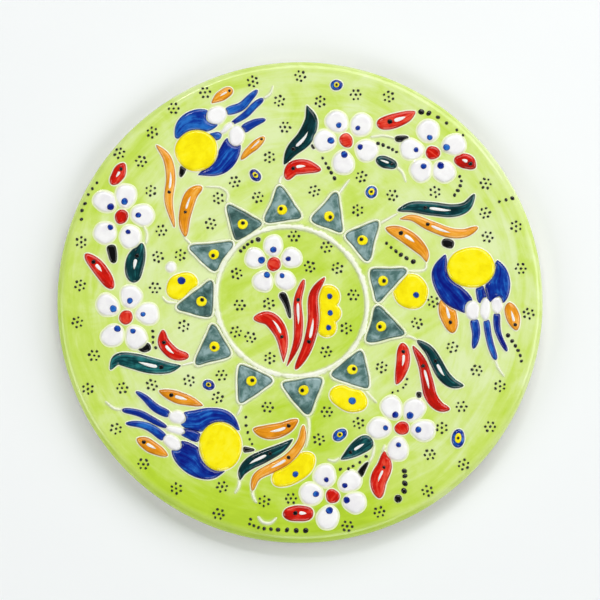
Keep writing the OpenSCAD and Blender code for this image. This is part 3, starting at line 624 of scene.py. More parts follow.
@dataclass(frozen=True)
class GroundGlaze:
    """Transparent copper-yellow glaze, brushed on in overlapping strokes and fired glossy.

    It gives the eye uneven yellow-green washes with visible brush bands, pale where it drew
    back from the enamels and deeper where it pooled between them.
    """

    name: str = "lead_free_glaze_brushed"
    pale: str = "#E1F0B0"
    mid: str = "#CFE672"
    full: str = "#BBDA38"
    deep: str = "#A0C122"
    halo: str = "#EEF6CC"

    def build(self) -> bpy.types.Material:
        """Build the node tree.

        Returns:
            The material. It reads the brush direction and the pooling from attributes.
        """
        material, tree = blank(self.name)
        brush = add(tree, "Attribute", attribute_name="brush").outputs["Vector"]
        washes = ("wash", "near", "wide", "turned", "edge_mm")
        reads = [add(tree, "Attribute", attribute_name=name).outputs["Fac"] for name in washes]
        wash, near, wide, turned, edge = reads
        place = add(tree, "TexCoord").outputs["Object"]
        round_map = add(tree, "Mapping", {"Vector": brush, "Scale": (0.035, 0.035, 0.22)})
        rounds = add(
            tree, "TexNoise",
            {"Vector": round_map, "Scale": 1.0, "Detail": 4.0, "Roughness": 0.55, "Distortion": 0.8},
        )
        slant_map = add(
            tree, "Mapping", {"Vector": place, "Rotation": (0.0, 0.0, 0.55), "Scale": (0.024, 0.006, 0.02)},
            vector_type="TEXTURE",
        )
        slants = add(
            tree, "TexNoise",
            {"Vector": slant_map, "Scale": 1.0, "Detail": 4.0, "Roughness": 0.55, "Distortion": 0.8},
        )
        band = add(tree, "Mix", {0: turned, 2: slants, 3: rounds})
        hair_map = add(tree, "Mapping", {"Vector": brush, "Scale": (0.06, 0.06, 1.1)})
        hair = add(
            tree, "TexNoise",
            {"Vector": hair_map, "Scale": 1.0, "Detail": 3.0, "Roughness": 0.6, "Distortion": 0.5},
        )
        cloud = add(
            tree, "TexNoise",
            {"Vector": place, "Scale": 70.0, "Detail": 5.0, "Roughness": 0.6, "Distortion": 0.5},
        )
        tone = add(tree, "Math", {0: band, 1: 0.75, 2: wash}, operation="MULTIPLY_ADD")
        tone = add(tree, "Math", {0: hair, 1: 0.12, 2: tone}, operation="MULTIPLY_ADD")
        tone = add(tree, "Math", {0: cloud, 1: 0.8, 2: tone}, operation="MULTIPLY_ADD")
        tone = add(tree, "Math", {0: wide, 1: 0.30, 2: tone}, operation="MULTIPLY_ADD")
        colour = tinted(tree, self.pale, [
            ({"Value": tone, "From Min": 0.80, "From Max": 1.12}, self.mid),
            ({"Value": tone, "From Min": 1.08, "From Max": 1.40}, self.full),
            ({"Value": tone, "From Min": 1.42, "From Max": 1.85}, self.deep),
            ({"Value": near, "From Min": 0.25, "To Max": 0.75}, self.halo),
            # Painted highlight: a pale band round the top of the rounded shoulder, where the rim catches
            # light. On the side the same tint marks the glaze running thin at its lower edge.
            ({"Value": edge, "From Min": 0.35, "From Max": 2.2, "To Min": 0.14, "To Max": 0.0}, self.halo),
        ])
        gloss = add(
            tree, "MapRange",
            {"Value": cloud, "From Min": 0.3, "From Max": 0.7, "To Min": 0.12, "To Max": 0.24},
        )
        pin = add(tree, "TexVoronoi", {"Vector": place, "Scale": 330.0})
        pit = add(tree, "MapRange", {"Value": pin, "From Max": 0.07})
        height = add(tree, "Math", {0: band, 1: 1.5, 2: hair}, operation="MULTIPLY_ADD")
        height = add(tree, "Math", {0: pit, 1: 0.25, 2: height}, operation="MULTIPLY_ADD")
        bump = add(tree, "Bump", {"Strength": 0.3, "Distance": 0.05 * MM, "Height": height})
        shader = add(
            tree, "BsdfPrincipled",
            {"Base Color": colour, "Roughness": gloss, "IOR": 1.5, "Metallic": 0.0, "Normal": bump},
        )
        add(tree, "OutputMaterial", {"Surface": shader})
        return material


@dataclass(frozen=True)
class BisqueClay:
    """White earthenware, pressed, fettled with a wet sponge and fired once.

    It gives the eye a dry chalky off-white with fine grog specks and faint sponge rings.
    greyer foot where it has been set down.
    """

    name: str = "earthenware_bisque_sponged"
    light: str = "#EFE7D6"
    dark: str = "#D9CBB2"
    speck: str = "#A98F6E"

    def build(self) -> bpy.types.Material:
        """Build the node tree.

        Returns:
            The material, patterned in millimetres from the piece's own place.
        """
        material, tree = blank(self.name)
        place = add(tree, "TexCoord").outputs["Object"]
        brush = add(tree, "Attribute", attribute_name="brush").outputs["Vector"]
        cloud = add(tree, "TexNoise", {"Vector": place, "Scale": 60.0, "Detail": 5.0, "Roughness": 0.6})
        rings_map = add(tree, "Mapping", {"Vector": brush, "Scale": (0.02, 0.5, 1.0)})
        rings = add(tree, "TexNoise", {"Vector": rings_map, "Scale": 1.0, "Detail": 2.0, "Distortion": 0.6})
        grog = add(tree, "TexVoronoi", {"Vector": place, "Scale": 700.0, "Randomness": 1.0})
        grain = add(tree, "TexNoise", {"Vector": place, "Scale": 2600.0, "Detail": 2.0})
        mixed = add(tree, "Math", {0: rings, 1: 0.25, 2: cloud}, operation="MULTIPLY_ADD")
        colour = tinted(tree, self.light, [
            ({"Value": mixed, "From Min": 0.45, "From Max": 0.85}, self.dark),
            ({"Value": grog, "From Min": 0.1, "From Max": 0.2, "To Min": 0.4, "To Max": 0.0}, self.speck),
        ])
        rough = add(tree, "MapRange", {"Value": cloud, "To Min": 0.72, "To Max": 0.95})
        height = add(tree, "Math", {0: rings, 1: 1.0, 2: grain}, operation="MULTIPLY_ADD")
        bump = add(tree, "Bump", {"Strength": 0.5, "Distance": 0.1 * MM, "Height": height})
        shader = add(
            tree, "BsdfPrincipled",
            {"Base Color": colour, "Roughness": rough, "IOR": 1.5, "Metallic": 0.0, "Normal": bump},
        )
        add(tree, "OutputMaterial", {"Surface": shader})
        return material


@dataclass(frozen=True)
class Cork:
    """Agglomerated cork, ground, pressed with binder and sliced to sheet.

    It gives the eye tan granules of one to three millimetres in many browns, with darker
    binder and bark flecks between them, and a dry matt face.
    """

    name: str = "agglomerated_cork_sliced"
    light: str = "#D2A878"
    mid: str = "#B98A58"
    dark: str = "#7C5330"
    bark: str = "#4A2E1B"

    def build(self) -> bpy.types.Material:
        """Build the node tree.

        Returns:
            The material, with granules about 1.8 mm across.
        """
        material, tree = blank(self.name)
        place = add(tree, "TexCoord").outputs["Object"]
        cells = add(tree, "TexVoronoi", {"Vector": place, "Scale": 550.0})
        gaps = add(tree, "TexVoronoi", {"Vector": place, "Scale": 550.0}, feature="DISTANCE_TO_EDGE")
        pick = add(tree, "SeparateColor", {"Color": cells.outputs["Color"]})
        fibre = add(tree, "TexNoise", {"Vector": place, "Scale": 2200.0, "Detail": 4.0, "Roughness": 0.65})
        colour = tinted(tree, self.mid, [
            ({"Value": pick, "From Min": 0.1, "From Max": 0.9}, self.light),
            ({"Value": pick.outputs[1], "From Min": 0.86, "From Max": 0.92}, self.bark),
            ({"Value": gaps, "From Max": 0.09, "To Min": 0.75, "To Max": 0.0}, self.dark),
            ({"Value": fibre, "From Min": 0.35, "From Max": 0.7, "To Max": 0.35}, self.dark),
        ])
        rough = add(tree, "MapRange", {"Value": fibre, "To Min": 0.8, "To Max": 1.0})
        height = add(tree, "Math", {0: gaps, 1: 2.5, 2: fibre}, operation="MULTIPLY_ADD")
        bump = add(tree, "Bump", {"Strength": 0.8, "Distance": 0.3 * MM, "Height": height})
        shader = add(
            tree, "BsdfPrincipled",
            {"Base Color": colour, "Roughness": rough, "IOR": 1.4, "Metallic": 0.0, "Normal": bump},
        )
        add(tree, "OutputMaterial", {"Surface": shader})
        return material


@dataclass(frozen=True)
class ContactAdhesive:
    """Contact adhesive, spread with a comb and squeezed thin under the cork.

    It gives the eye a honey-coloured, slightly stringy film with a soft shine.
    """

    name: str = "contact_adhesive_spread"
    light: str = "#D9B56A"
    dark: str = "#A97C38"

    def build(self) -> bpy.types.Material:
        """Build the node tree.

        Returns:
            The material, streaked in the direction it was spread.
        """
        material, tree = blank(self.name)
        place = add(tree, "TexCoord").outputs["Object"]
        spread = add(tree, "Mapping", {"Vector": place, "Scale": (60.0, 420.0, 60.0)})
        comb = add(tree, "TexNoise", {"Vector": spread, "Scale": 1.0, "Detail": 4.0})
        colour = add(tree, "Mix", {0: comb, 6: self.light, 7: self.dark}, data_type="RGBA")
        rough = add(tree, "MapRange", {"Value": comb, "To Min": 0.25, "To Max": 0.5})
        bump = add(tree, "Bump", {"Strength": 0.5, "Distance": 0.08 * MM, "Height": comb})
        shader = add(
            tree, "BsdfPrincipled",
            {"Base Color": colour, "Roughness": rough, "IOR": 1.47, "Metallic": 0.0, "Normal": bump},
        )
        add(tree, "OutputMaterial", {"Surface": shader})
        return material


def lathe(profile: np.ndarray, columns: int, wave: np.ndarray | None = None) -> Surface:
    """Turn a closed profile round the Z axis.

    The surface is (r(t) cos a, r(t) sin a, z(t)), with the profile running from the axis
    outwards over the top, down the side and back to the axis below.

    Args:
        profile: radius and height in millimetres, N by 2, starting and ending on the axis.
        columns: number of steps round.
        wave: height added at each profile row and column, if any.

    Returns:
        The closed surface.
    """
    angle = 2 * np.pi * np.arange(columns) / columns
    x = profile[:, :1] * np.cos(angle)
    y = profile[:, :1] * np.sin(angle)
    z = np.repeat(profile[:, 1:], columns, axis=1)
    if wave is not None:
        z = z + wave
    points = np.stack([x, y, z], axis=-1).reshape(-1, 3)
    count = len(profile)
    turns = np.repeat(angle[None] * PATTERN_RADIUS, count, axis=0)
    along = np.stack([turns, np.repeat(run_of(profile)[:, None], columns, axis=1), 0 * x], axis=-1)
    faces = grid_faces(count, columns)[:, ::-1]
    merge = np.arange(len(points))
    last = (count - 1) * columns
    merge[:columns] = 0
    merge[last:] = last
    edge = np.ones(len(points))
    return tidy(Surface(points, faces, along.reshape(-1, 3), edge, np.zeros(len(points))), merge)


def arc_points(
    centre: tuple[float, float], radius: float, start: float, stop: float, count: int
) -> np.ndarray:
    """Points on an arc in the profile plane, at angles in degrees from the outward direction.

    Args:
        centre: radius and height of the arc's centre.
        radius: its radius.
        start: first angle.
        stop: last angle.
        count: number of points.

    Returns:
        The points, count by 2.
    """
    angle = np.radians(np.linspace(start, stop, count))
    return np.column_stack([centre[0] + radius * np.cos(angle), centre[1] + radius * np.sin(angle)])


def straight(a: tuple[float, float], b: tuple[float, float], count: int) -> np.ndarray:
    """Evenly spaced points from a to b in the profile plane, without b itself."""
    share = np.linspace(0, 1, count, endpoint=False)[:, None]
    return np.array(a) * (1 - share) + np.array(b) * share


@dataclass
class PlateBody:
    """The fired body: clay disc, ground glaze, and the cork pad stuck below it.

    Sizes are in millimetres: radii, and heights over the surface that the plate stands on. Cover
    of the enamels is counted on a square grid of cells and blurred by a near and a wide Gaussian.
    The washes say how much deeper the ground was brushed at each place.
    """

    rim: float = 90.0
    shoulder: float = 3.0
    glaze: float = 0.5
    underside: float = 2.2
    glaze_edge: float = 3.8
    clay_top: float = 8.2
    foot_bottom: float = 0.6
    foot_out: float = 78.0
    foot_in: float = 72.0
    heel: float = 1.0
    cork_radius: float = 71.25
    cork_top: float = 2.0
    columns: int = 480
    pool_cells: int = 480
    pool_reach: float = 96.0
    near_blur: float = 0.9
    wide_blur: float = 2.6
    wash_base: float = 0.06
    wash_rim: float = 0.16
    wash_middle: float = 0.22
    wash_foot: float = 0.40
    wash_head: float = 0.2

    def clay(self) -> Surface:
        """Lathe the disc with a rounded foot ring and a sponged inner corner.

        Returns:
            The closed clay surface.
        """
        side = self.rim - self.glaze
        inner_r = self.shoulder - self.glaze
        soft = 0.7
        profile = np.vstack([
            straight((0, self.clay_top), (side - inner_r, self.clay_top), 40),
            arc_points((side - inner_r, self.clay_top - inner_r), inner_r, 90, 0, 12),
            straight((side, self.clay_top - inner_r - 0.1), (side, self.underside + self.heel), 8),
            arc_points((side - self.heel, self.underside + self.heel), self.heel, 0, -90, 10),
            straight((side - self.heel - 0.1, self.underside), (self.foot_out + soft, self.underside), 12),
            arc_points((self.foot_out + soft, self.underside - soft), soft, 90, 180, 7),
            arc_points((self.foot_out - soft, self.foot_bottom + soft), soft, 0, -90, 7),
            arc_points((self.foot_in + soft, self.foot_bottom + soft), soft, -90, -180, 7),
            arc_points((self.foot_in - soft, self.underside - soft), soft, 0, 90, 7),
            straight((self.foot_in - soft - 0.1, self.underside), (0, self.underside), 30),
            [[0, self.underside]],
        ])
        return lathe(profile, self.columns // 2)

    def cork(self) -> Surface:
        """Lathe the cork pad, with a knife-cut edge and a face that gives by a few hundredths.

        Returns:
            The closed pad.
        """
        r, t = self.cork_radius, self.cork_top
        profile = np.vstack([
            straight((0, t), (r, t), 60),
            arc_points((r - 0.15, t - 0.15), 0.15, 90, 0, 4),
            straight((r, t - 0.2), (r, 0.3), 6),
            arc_points((r - 0.25, 0.25), 0.25, 0, -90, 5),
            straight((r - 0.3, 0), (0, 0), 90),
            [[0, 0]],
        ])
        angle = 2 * np.pi * np.arange(360) / 360
        radius = profile[:, :1]
        tear = 0.05 * np.sin(31 * angle + radius * 4.1) * np.sin(17 * angle - radius * 2.3)
        low = (profile[:, 1] < 0.2)[:, None] & (radius > 4)
        return lathe(profile, 360, np.where(low, np.abs(tear), 0))

    def adhesive(self) -> Surface:
        """Lathe the film of adhesive, squeezed out a little past the cork's edge in places.

        Returns:
            The closed film.
        """
        r = self.cork_radius
        profile = np.vstack([
            straight((0, self.underside), (r, self.underside), 30),
            arc_points((r, 0.5 * (self.underside + self.cork_top)), 0.1, 90, -90, 7),
            straight((r - 0.05, self.cork_top), (0, self.cork_top), 30),
            [[0, self.cork_top]],
        ])
        film = lathe(profile, 360)
        turn = np.arctan2(film.points[:, 1], film.points[:, 0])
        radius = np.hypot(film.points[:, 0], film.points[:, 1])
        push = 0.22 * np.clip(np.sin(7 * turn) + np.sin(13 * turn + 1) * 0.7 - 0.4, 0, 1) * (radius > r - 0.5)
        film.points[:, :2] *= (1 + push / np.maximum(radius, 1))[:, None]
        return film

    def ground(self, pads: np.ndarray, pale_pads: np.ndarray) -> Surface:
        """Lathe the glaze over the top and side, and note how it pooled round the enamels.

        Height is level plus two slow waves of a few hundredths of a millimetre. The pooling is
        the density of enamel, blurred by a Gaussian and read back at each vertex.

        Args:
            pads: points on every enamel, N by 2.
            pale_pads: points on the white enamels only.

        Returns:
            The closed glaze, with its washes as attributes.
        """
        r, s = self.rim, self.shoulder
        inner = r - self.glaze
        inner_r = s - self.glaze
        top = GROUND_Z
        flat = straight((0, top), (r - s, top), 132)
        profile = np.vstack([
            flat,
            arc_points((r - s, top - s), s, 90, 0, 14),
            straight((r, top - s - 0.15), (r, self.glaze_edge + 0.35), 8),
            arc_points((r - 0.3, self.glaze_edge + 0.3), 0.3, 0, -90, 5),
            straight((r - 0.4, self.glaze_edge), (inner, self.glaze_edge), 2),
            straight((inner, self.glaze_edge + 0.1), (inner, self.clay_top - inner_r), 4),
            arc_points((inner - inner_r, self.clay_top - inner_r), inner_r, 0, 90, 6),
            straight((inner - inner_r - 0.1, self.clay_top), (0, self.clay_top), 12),
            [[0, self.clay_top]],
        ])
        angle = 2 * np.pi * np.arange(self.columns) / self.columns
        radius = profile[:, :1]
        x, y = radius * np.cos(angle), radius * np.sin(angle)
        slow = 0.022 * np.sin(0.21 * x + 0.13 * y + 1.0) + 0.018 * np.sin(0.17 * y - 0.24 * x)
        on_top = (np.arange(len(profile)) < len(flat))[:, None]
        near_edge = np.clip(1 - (profile[:, 1:] - self.glaze_edge) / 1.4, 0, 1)
        sag = 0.09 * (np.sin(5 * angle + 0.4) + np.sin(9 * angle + 2.0)) * near_edge
        outside = (np.arange(len(profile)) < len(flat) + 27)[:, None]
        wave = np.where(on_top, slow * np.clip((r - s - radius) / 6, 0, 1), np.where(outside, sag, 0))
        surface = lathe(profile, self.columns, wave)
        self._pool(surface, pads, pale_pads)
        return surface

    def _pool(self, surface: Surface, pads: np.ndarray, pale_pads: np.ndarray) -> None:
        """Store near, wide and wash for each vertex, its brush direction, and the edge value that places the
        painted highlight along the rim.

        Args:
            surface: the ground glaze, changed in place.
            pads: points on every enamel.
            pale_pads: points on the white enamels.
        """
        cells, reach = self.pool_cells, self.pool_reach
        step = 2 * reach / cells
        wave = 2 * np.pi * np.fft.fftfreq(cells, d=step)
        squared = wave[:, None] ** 2 + wave[None] ** 2
        at = np.clip((surface.points[:, :2] + reach) / step - 0.5, 0, cells - 2)
        low = at.astype(int)
        part = at - low

        def blurred(points: np.ndarray, sigma: float) -> np.ndarray:
            """Count points in cells, mark the covered ones and blur them.

            Args:
                points: places, N by 2.
                sigma: width of the Gaussian in millimetres.

            Returns:
                The blurred cover at each vertex, from 0 to 1.
            """
            count, _, _ = np.histogram2d(points[:, 0], points[:, 1], bins=cells, range=[[-reach, reach]] * 2)
            soft = np.fft.ifft2(np.fft.fft2(count > 0) * np.exp(-0.5 * squared * sigma**2)).real
            i, j = low[:, 0], low[:, 1]
            u, v = part[:, 0], part[:, 1]
            left = soft[i, j] * (1 - v) + soft[i, j + 1] * v
            right = soft[i + 1, j] * (1 - v) + soft[i + 1, j + 1] * v
            return left * (1 - u) + right * u

        x, y = surface.points[:, 0], surface.points[:, 1]
        radius, turn = np.hypot(x, y), np.arctan2(y, x)
        rimward = np.clip((radius - 68) / 18, 0, 1)
        outside = np.clip((radius - 29) / 2, 0, 1)
        foot_side = np.exp(-(((turn + 1.62) / 0.62) ** 2)) * outside
        left_rim = np.clip(np.cos(turn + 2.6), 0, 1) * rimward
        head_side = np.exp(-(((radius - 42) / 11) ** 2)) * np.clip(np.cos(turn - 1.0), 0, 1)
        wash = self.wash_base + self.wash_rim * (rimward + left_rim) + self.wash_middle * (1 - outside)
        wash = wash + self.wash_foot * foot_side + self.wash_head * head_side
        surface.extra = {
            "near": blurred(pads, self.near_blur),
            "wide": blurred(pale_pads, self.wide_blur),
            "wash": wash,
            "turned": np.clip((radius - 45) / 18, 0, 1),
        }
        surface.along = np.column_stack([BRUSH_RADIUS * np.cos(turn), BRUSH_RADIUS * np.sin(turn), radius])
        on_top = surface.points[:, 2] > GROUND_Z - 2
        above = np.clip(surface.points[:, 2] - self.glaze_edge, 0, 9)
        # On top, the distance from the circle at 88.2 mm places the pale band painted round the shoulder as a
        # highlight; on the side it is the height over the glaze's lower edge.
        surface.edge = np.where(on_top, np.abs(radius - 88.2) + 0.35, above)


@dataclass
class EnamelWork:
    """Every raised deposit, with the CAD nodes that it stands for.

    Slip dots spread past their CAD outlines and sink a little into the glaze. A crown line runs
    the offset away from its petal. The ring's unevenness is the height of its sine waves.
    """

    frame: dict
    slots: dict
    seed: int = 7
    dot_height: float = 0.42
    dot_spread: float = 1.26
    dot_sink: float = 0.03
    dot_steps: int = 10
    dot_slopes: tuple[float, ...] = (104, 78, 46)
    crown_offset: float = 0.55
    ring_unevenness: float = 0.024
    ring_waves: tuple[int, int] = (7, 120)
    ring_columns: int = 480
    all_pads: list = field(default_factory=list)
    white_pads: list = field(default_factory=list)

    def lay(self, node: str, lay: Lay, material: bpy.types.Material) -> bpy.types.Object:
        """Sweep every outline of a node and make one piece of them.

        Args:
            node: the CAD node's name.
            lay: thickness and roundness.
            material: the finish.

        Returns:
            The piece.
        """
        outlines = [o for o in top_outlines(self.frame["nodes"][node]) if signed_area(o) > 0]
        rng = np.random.default_rng(self.seed + sum(map(ord, node)))
        shades = rng.uniform(-1, 1, len(outlines))
        spins = rng.uniform(0.2, 2.8, len(outlines))
        parts = [cushion(o, lay, s, t) for o, s, t in zip(outlines, shades, spins)]
        surface = joined(parts)
        self._note(surface, node)
        return make_object(f"{node}_enamel", surface, material, node)

    def _note(self, surface: Surface, node: str) -> None:
        """Keep where a piece lies, for the pooling of the ground glaze round it."""
        spread = surface.points[surface.edge > -0.2][:, :2]
        self.all_pads.append(spread)
        if "white" in self.slots[node]:
            self.white_pads.append(spread)

    def outlines_of_crown(self, lay: Lay, material: bpy.types.Material) -> bpy.types.Object:
        """Trail a cream line round each grey petal, as a half-round bead on an offset outline.

        The path is the petal's outline pushed out by the offset. The section turns through
        half an ellipse from the inner foot over the top to the outer foot, then goes below.

        Args:
            lay: line height and half width.
            material: the finish.

        Returns:
            The piece.
        """
        rng = np.random.default_rng(self.seed)
        parts = []
        for outline in top_outlines(self.frame["nodes"]["crown_petals"]):
            if signed_area(outline) < 0:
                continue
            path = wavered(smooth_loop(even_loop(outline, 480), 0.3), lay.waver)
            path = smooth_loop(even_loop(path + self.crown_offset * outward(path), 240), 0.25)
            parts.append(bead(path, lay, rng.uniform(-1, 1), rng.uniform(0.2, 2.8)))
        surface = joined(parts)
        self._note(surface, "crown_outlines")
        node = "crown_outlines"
        return make_object(f"{node}_slip", surface, material, node)

    def ring(self, lay: Lay, material: bpy.types.Material) -> bpy.types.Object:
        """Trail the ring round the middle as one half-round bead between its two outlines.

        Args:
            lay: line height and half width.
            material: the finish.

        Returns:
            The piece.
        """
        loops = sorted(top_outlines(self.frame["nodes"]["medallion_ring"]), key=lambda o: abs(signed_area(o)))
        outer, inner = loops[-1], loops[0][::-1]
        angle = np.linspace(0, 2 * np.pi, self.ring_columns, endpoint=False)
        centre = outer.mean(axis=0)

        def radius(loop: np.ndarray) -> np.ndarray:
            """Distance from the ring's centre at each even angle."""
            rel = loop - centre
            turn = np.arctan2(rel[:, 1], rel[:, 0]) % (2 * np.pi)
            order = np.argsort(turn)
            return np.interp(angle, turn[order], np.hypot(*rel.T)[order], period=2 * np.pi)

        turns = np.arange(*self.ring_waves)
        phase = np.random.default_rng(self.seed).uniform(0, 2 * np.pi, len(turns))
        sines = np.sin(turns[:, None] * angle + phase[:, None]) / np.sqrt(turns / 20)[:, None]
        hand = self.ring_unevenness * sines.sum(axis=0)
        hand = np.clip(hand, -0.4, 0.45)
        middle = 0.5 * (radius(outer) + radius(inner)) + 0.4 * hand
        path = centre + np.stack([middle * np.cos(angle), middle * np.sin(angle)], axis=1)
        surface = bead(path, lay, 0.3, 1.1, hand)
        self._note(surface, "medallion_ring")
        node = "medallion_ring"
        return make_object(f"{node}_slip", surface, material, node)

    def dots(self, node: str, material: bpy.types.Material) -> bpy.types.Object:
        """Set a small cap of slip at each dot of a node.

        A cap is the surface r(t) = R sin t, z(t) = H cos t, with its lowest row sunk into the
        glaze. Each cap has its own width, height and slight oval turn.

        Args:
            node: the CAD node's name.
            material: the finish.

        Returns:
            The piece.
        """
        loops = top_outlines(self.frame["nodes"][node])
        centres = np.array([loop.mean(axis=0) for loop in loops])
        radii = np.sqrt(np.array([abs(signed_area(loop)) for loop in loops]) / np.pi) * self.dot_spread
        rng = np.random.default_rng(self.seed + len(node))
        count = len(centres)
        steps = self.dot_steps
        turn = 2 * np.pi * np.arange(steps) / steps
        slopes = np.radians(self.dot_slopes)
        tall = self.dot_height * rng.uniform(0.8, 1.15, count)
        wide = radii * rng.uniform(0.9, 1.12, count)
        oval = rng.uniform(0.0, 0.16, count)
        lean = rng.uniform(0, np.pi, count)
        stretch = 1 + oval[:, None, None] * np.cos(2 * (turn - lean[:, None, None]))
        round_r = np.sin(slopes)[None, :, None] * wide[:, None, None] * stretch
        x = centres[:, 0, None, None] + round_r * np.cos(turn)
        y = centres[:, 1, None, None] + round_r * np.sin(turn)
        base = GROUND_Z - self.dot_sink
        z = base + tall[:, None, None] * np.cos(slopes)[None, :, None] + 0 * x
        rings = np.stack([x, y, z], axis=-1).reshape(count, -1, 3)
        peaks = np.column_stack([centres, base + tall])[:, None]
        roots = np.column_stack([centres, np.full(count, GROUND_Z - BURIED)])[:, None]
        points = np.concatenate([rings, peaks, roots], axis=1)
        per = points.shape[1]
        quads = grid_faces(len(slopes), steps)
        ring = np.arange(steps)
        top = (len(slopes) - 1) * steps
        caps = np.column_stack([top + ring, top + (ring + 1) % steps, np.full(steps, per - 2)])
        bases = np.column_stack([(ring + 1) % steps, ring, np.full(steps, per - 1)])
        starts = (np.arange(count) * per)[:, None, None]
        fans = (np.vstack([caps, bases])[None] + starts).reshape(-1, 3)
        faces = [*(quads[None] + starts).reshape(-1, 4).tolist(), *fans.tolist()]
        flat = points.reshape(-1, 3)
        shade = np.repeat(rng.uniform(-1, 1, count), per)
        surface = Surface(flat, faces, flat + 0.0, np.full(len(flat), 0.5), shade)
        return make_object(f"{node}_slip", surface, material, node)


def bead(path: np.ndarray, lay: Lay, shade: float, spin: float, hand: np.ndarray | None = None) -> Surface:
    """Carry a half-round section along a closed path.

    Across the path at angle q from 0 to pi, the section is (w cos q, h sin q), with a skirt
    row outside each foot and a buried row below. Width and height vary slowly along it.

    Args:
        path: counter-clockwise middle line, N by 2.
        lay: height, and half width as its round-over.
        shade: lightness of the line, from -1 to 1.
        spin: offset of its pattern.
        hand: change of half width along the path, if given.

    Returns:
        The closed bead.
    """
    count = len(path)
    arc = run_of(path)
    normal = outward(path)
    swell = hand if hand is not None else 0.05 * np.sin(arc * 1.3 + 5 * spin)
    half = lay.round_over + swell
    tall = lay.height * (1 + 0.08 * np.sin(arc * 0.7)) - lay.edge_lift
    section = np.radians(BEAD_SECTION)
    across = [-half - lay.skirt, *[half * np.cos(v) for v in section], half + lay.skirt]
    foot = np.full(count, FOOT_SINK)
    lift = [foot, *[lay.edge_lift + tall * np.sin(v) for v in section], foot]
    rows = [np.column_stack([path + a[:, None] * normal, lay.base + b]) for a, b in zip(across, lift)]
    low = np.full(count, lay.base - BURIED)
    rows += [np.column_stack([rows[-1][:, :2], low]), np.column_stack([rows[0][:, :2], low])]
    points = np.vstack(rows)
    levels = len(rows)
    r, c = np.meshgrid(np.arange(levels), np.arange(count), indexing="ij")
    nxt_r, nxt_c = (r + 1) % levels, (c + 1) % count
    corners = [r * count + c, nxt_r * count + c, nxt_r * count + nxt_c, r * count + nxt_c]
    faces = np.stack(corners, axis=-1).reshape(-1, 4)
    offset = np.concatenate([*across, across[-1], across[0]])
    along = np.column_stack([np.tile(arc, levels) + 37 * spin, offset, np.full(len(points), 13.0 * spin)])
    inset = np.concatenate([half - np.abs(a) for a in [*across, across[-1] * 3, across[0] * 3]])
    return Surface(points, faces.tolist(), along, inset, np.full(len(points), shade))


# Each light's name, its place and size in metres, and its power in watts
SOFTBOXES = [
    ("key_softbox", (0.35, 1.05, 1.0), 1.1, 13.5),
    ("right_softbox", (1.2, 0.1, 0.75), 0.8, 7.0),
    ("left_softbox", (-1.2, -0.2, 0.8), 0.8, 7.0),
    ("low_softbox", (0.2, -1.2, 0.9), 0.8, 7.0),
    ("glint_lamp", (-0.3, 0.8, 1.2), 0.12, 1.6),
]


@dataclass
class Studio:
    """Plain pale table, soft light and the camera, which aren't part of the plate.

    The tilt is in degrees from straight down. The distance and the table's half side are in
    metres, and the lens is in millimetres.
    """

    tilt: float = 8.17
    distance: float = 2.5
    lens: float = 405.0
    aim_height: float = 0.009
    table_half: float = 2.0
    room_light: float = 0.12

    def build(self) -> None:
        """Make the table, the lights and the camera."""
        scene = bpy.context.scene
        scene.view_settings.view_transform = "Standard"
        scene.view_settings.look = "None"
        scene.view_settings.exposure = 0.0
        self._table()
        world = bpy.data.worlds.new("soft_room")
        world.use_nodes = True
        background = world.node_tree.nodes["Background"].inputs
        background["Color"].default_value = linear("#F4F8FF")
        background["Strength"].default_value = self.room_light
        scene.world = world
        for name, place, size, power in SOFTBOXES:
            self._softbox(name, place, size, power)
        camera = bpy.data.objects.new("camera", bpy.data.cameras.new("camera"))
        camera.data.lens = self.lens
        camera.data.sensor_width = 36.0
        camera.data.clip_start = 0.05
        camera.data.clip_end = 20.0
        target = Vector((0.0, 0.0, self.aim_height))
        lean = math.radians(self.tilt)
        camera.location = target + self.distance * Vector((0.0, -math.sin(lean), math.cos(lean)))
        camera.rotation_euler = (lean, 0.0, 0.0)
        scene.collection.objects.link(camera)
        scene.camera = camera

    def _softbox(self, name: str, place: tuple[float, float, float], size: float, power: float) -> None:
        """Add one square softbox that faces the plate.

        Args:
            name: the light's name.
            place: where it stands, in metres.
            size: side of the square in metres.
            power: radiant power in watts.
        """
        light = bpy.data.lights.new(name, "AREA")
        light.shape = "SQUARE"
        light.size = size
        light.energy = power
        lamp = bpy.data.objects.new(name, light)
        lamp.location = place
        lamp.rotation_euler = (-Vector(place)).to_track_quat("-Z", "Y").to_euler()
        bpy.context.scene.collection.objects.link(lamp)

    def _table(self) -> None:
        """Lay a pale matt sheet under the plate, four metres square."""
        side = self.table_half
        mesh = bpy.data.meshes.new("table_sheet")
        corners = [(-side, -side, 0), (side, -side, 0), (side, side, 0), (-side, side, 0)]
        mesh.from_pydata(corners, [], [(0, 1, 2, 3)])
        material, tree = blank("matt_card")
        place = add(tree, "TexCoord").outputs["Object"]
        drift = add(tree, "TexNoise", {"Vector": place, "Scale": 6.0, "Detail": 2.0})
        colour = add(tree, "Mix", {0: drift, 6: "#F5F7F6", 7: "#F1F4F3"}, data_type="RGBA")
        shader = add(tree, "BsdfPrincipled", {"Base Color": colour, "Roughness": 0.9})
        add(tree, "OutputMaterial", {"Surface": shader})
        mesh.materials.append(material)
        table = bpy.data.objects.new("table_sheet", mesh)
        bpy.context.scene.collection.objects.link(table)


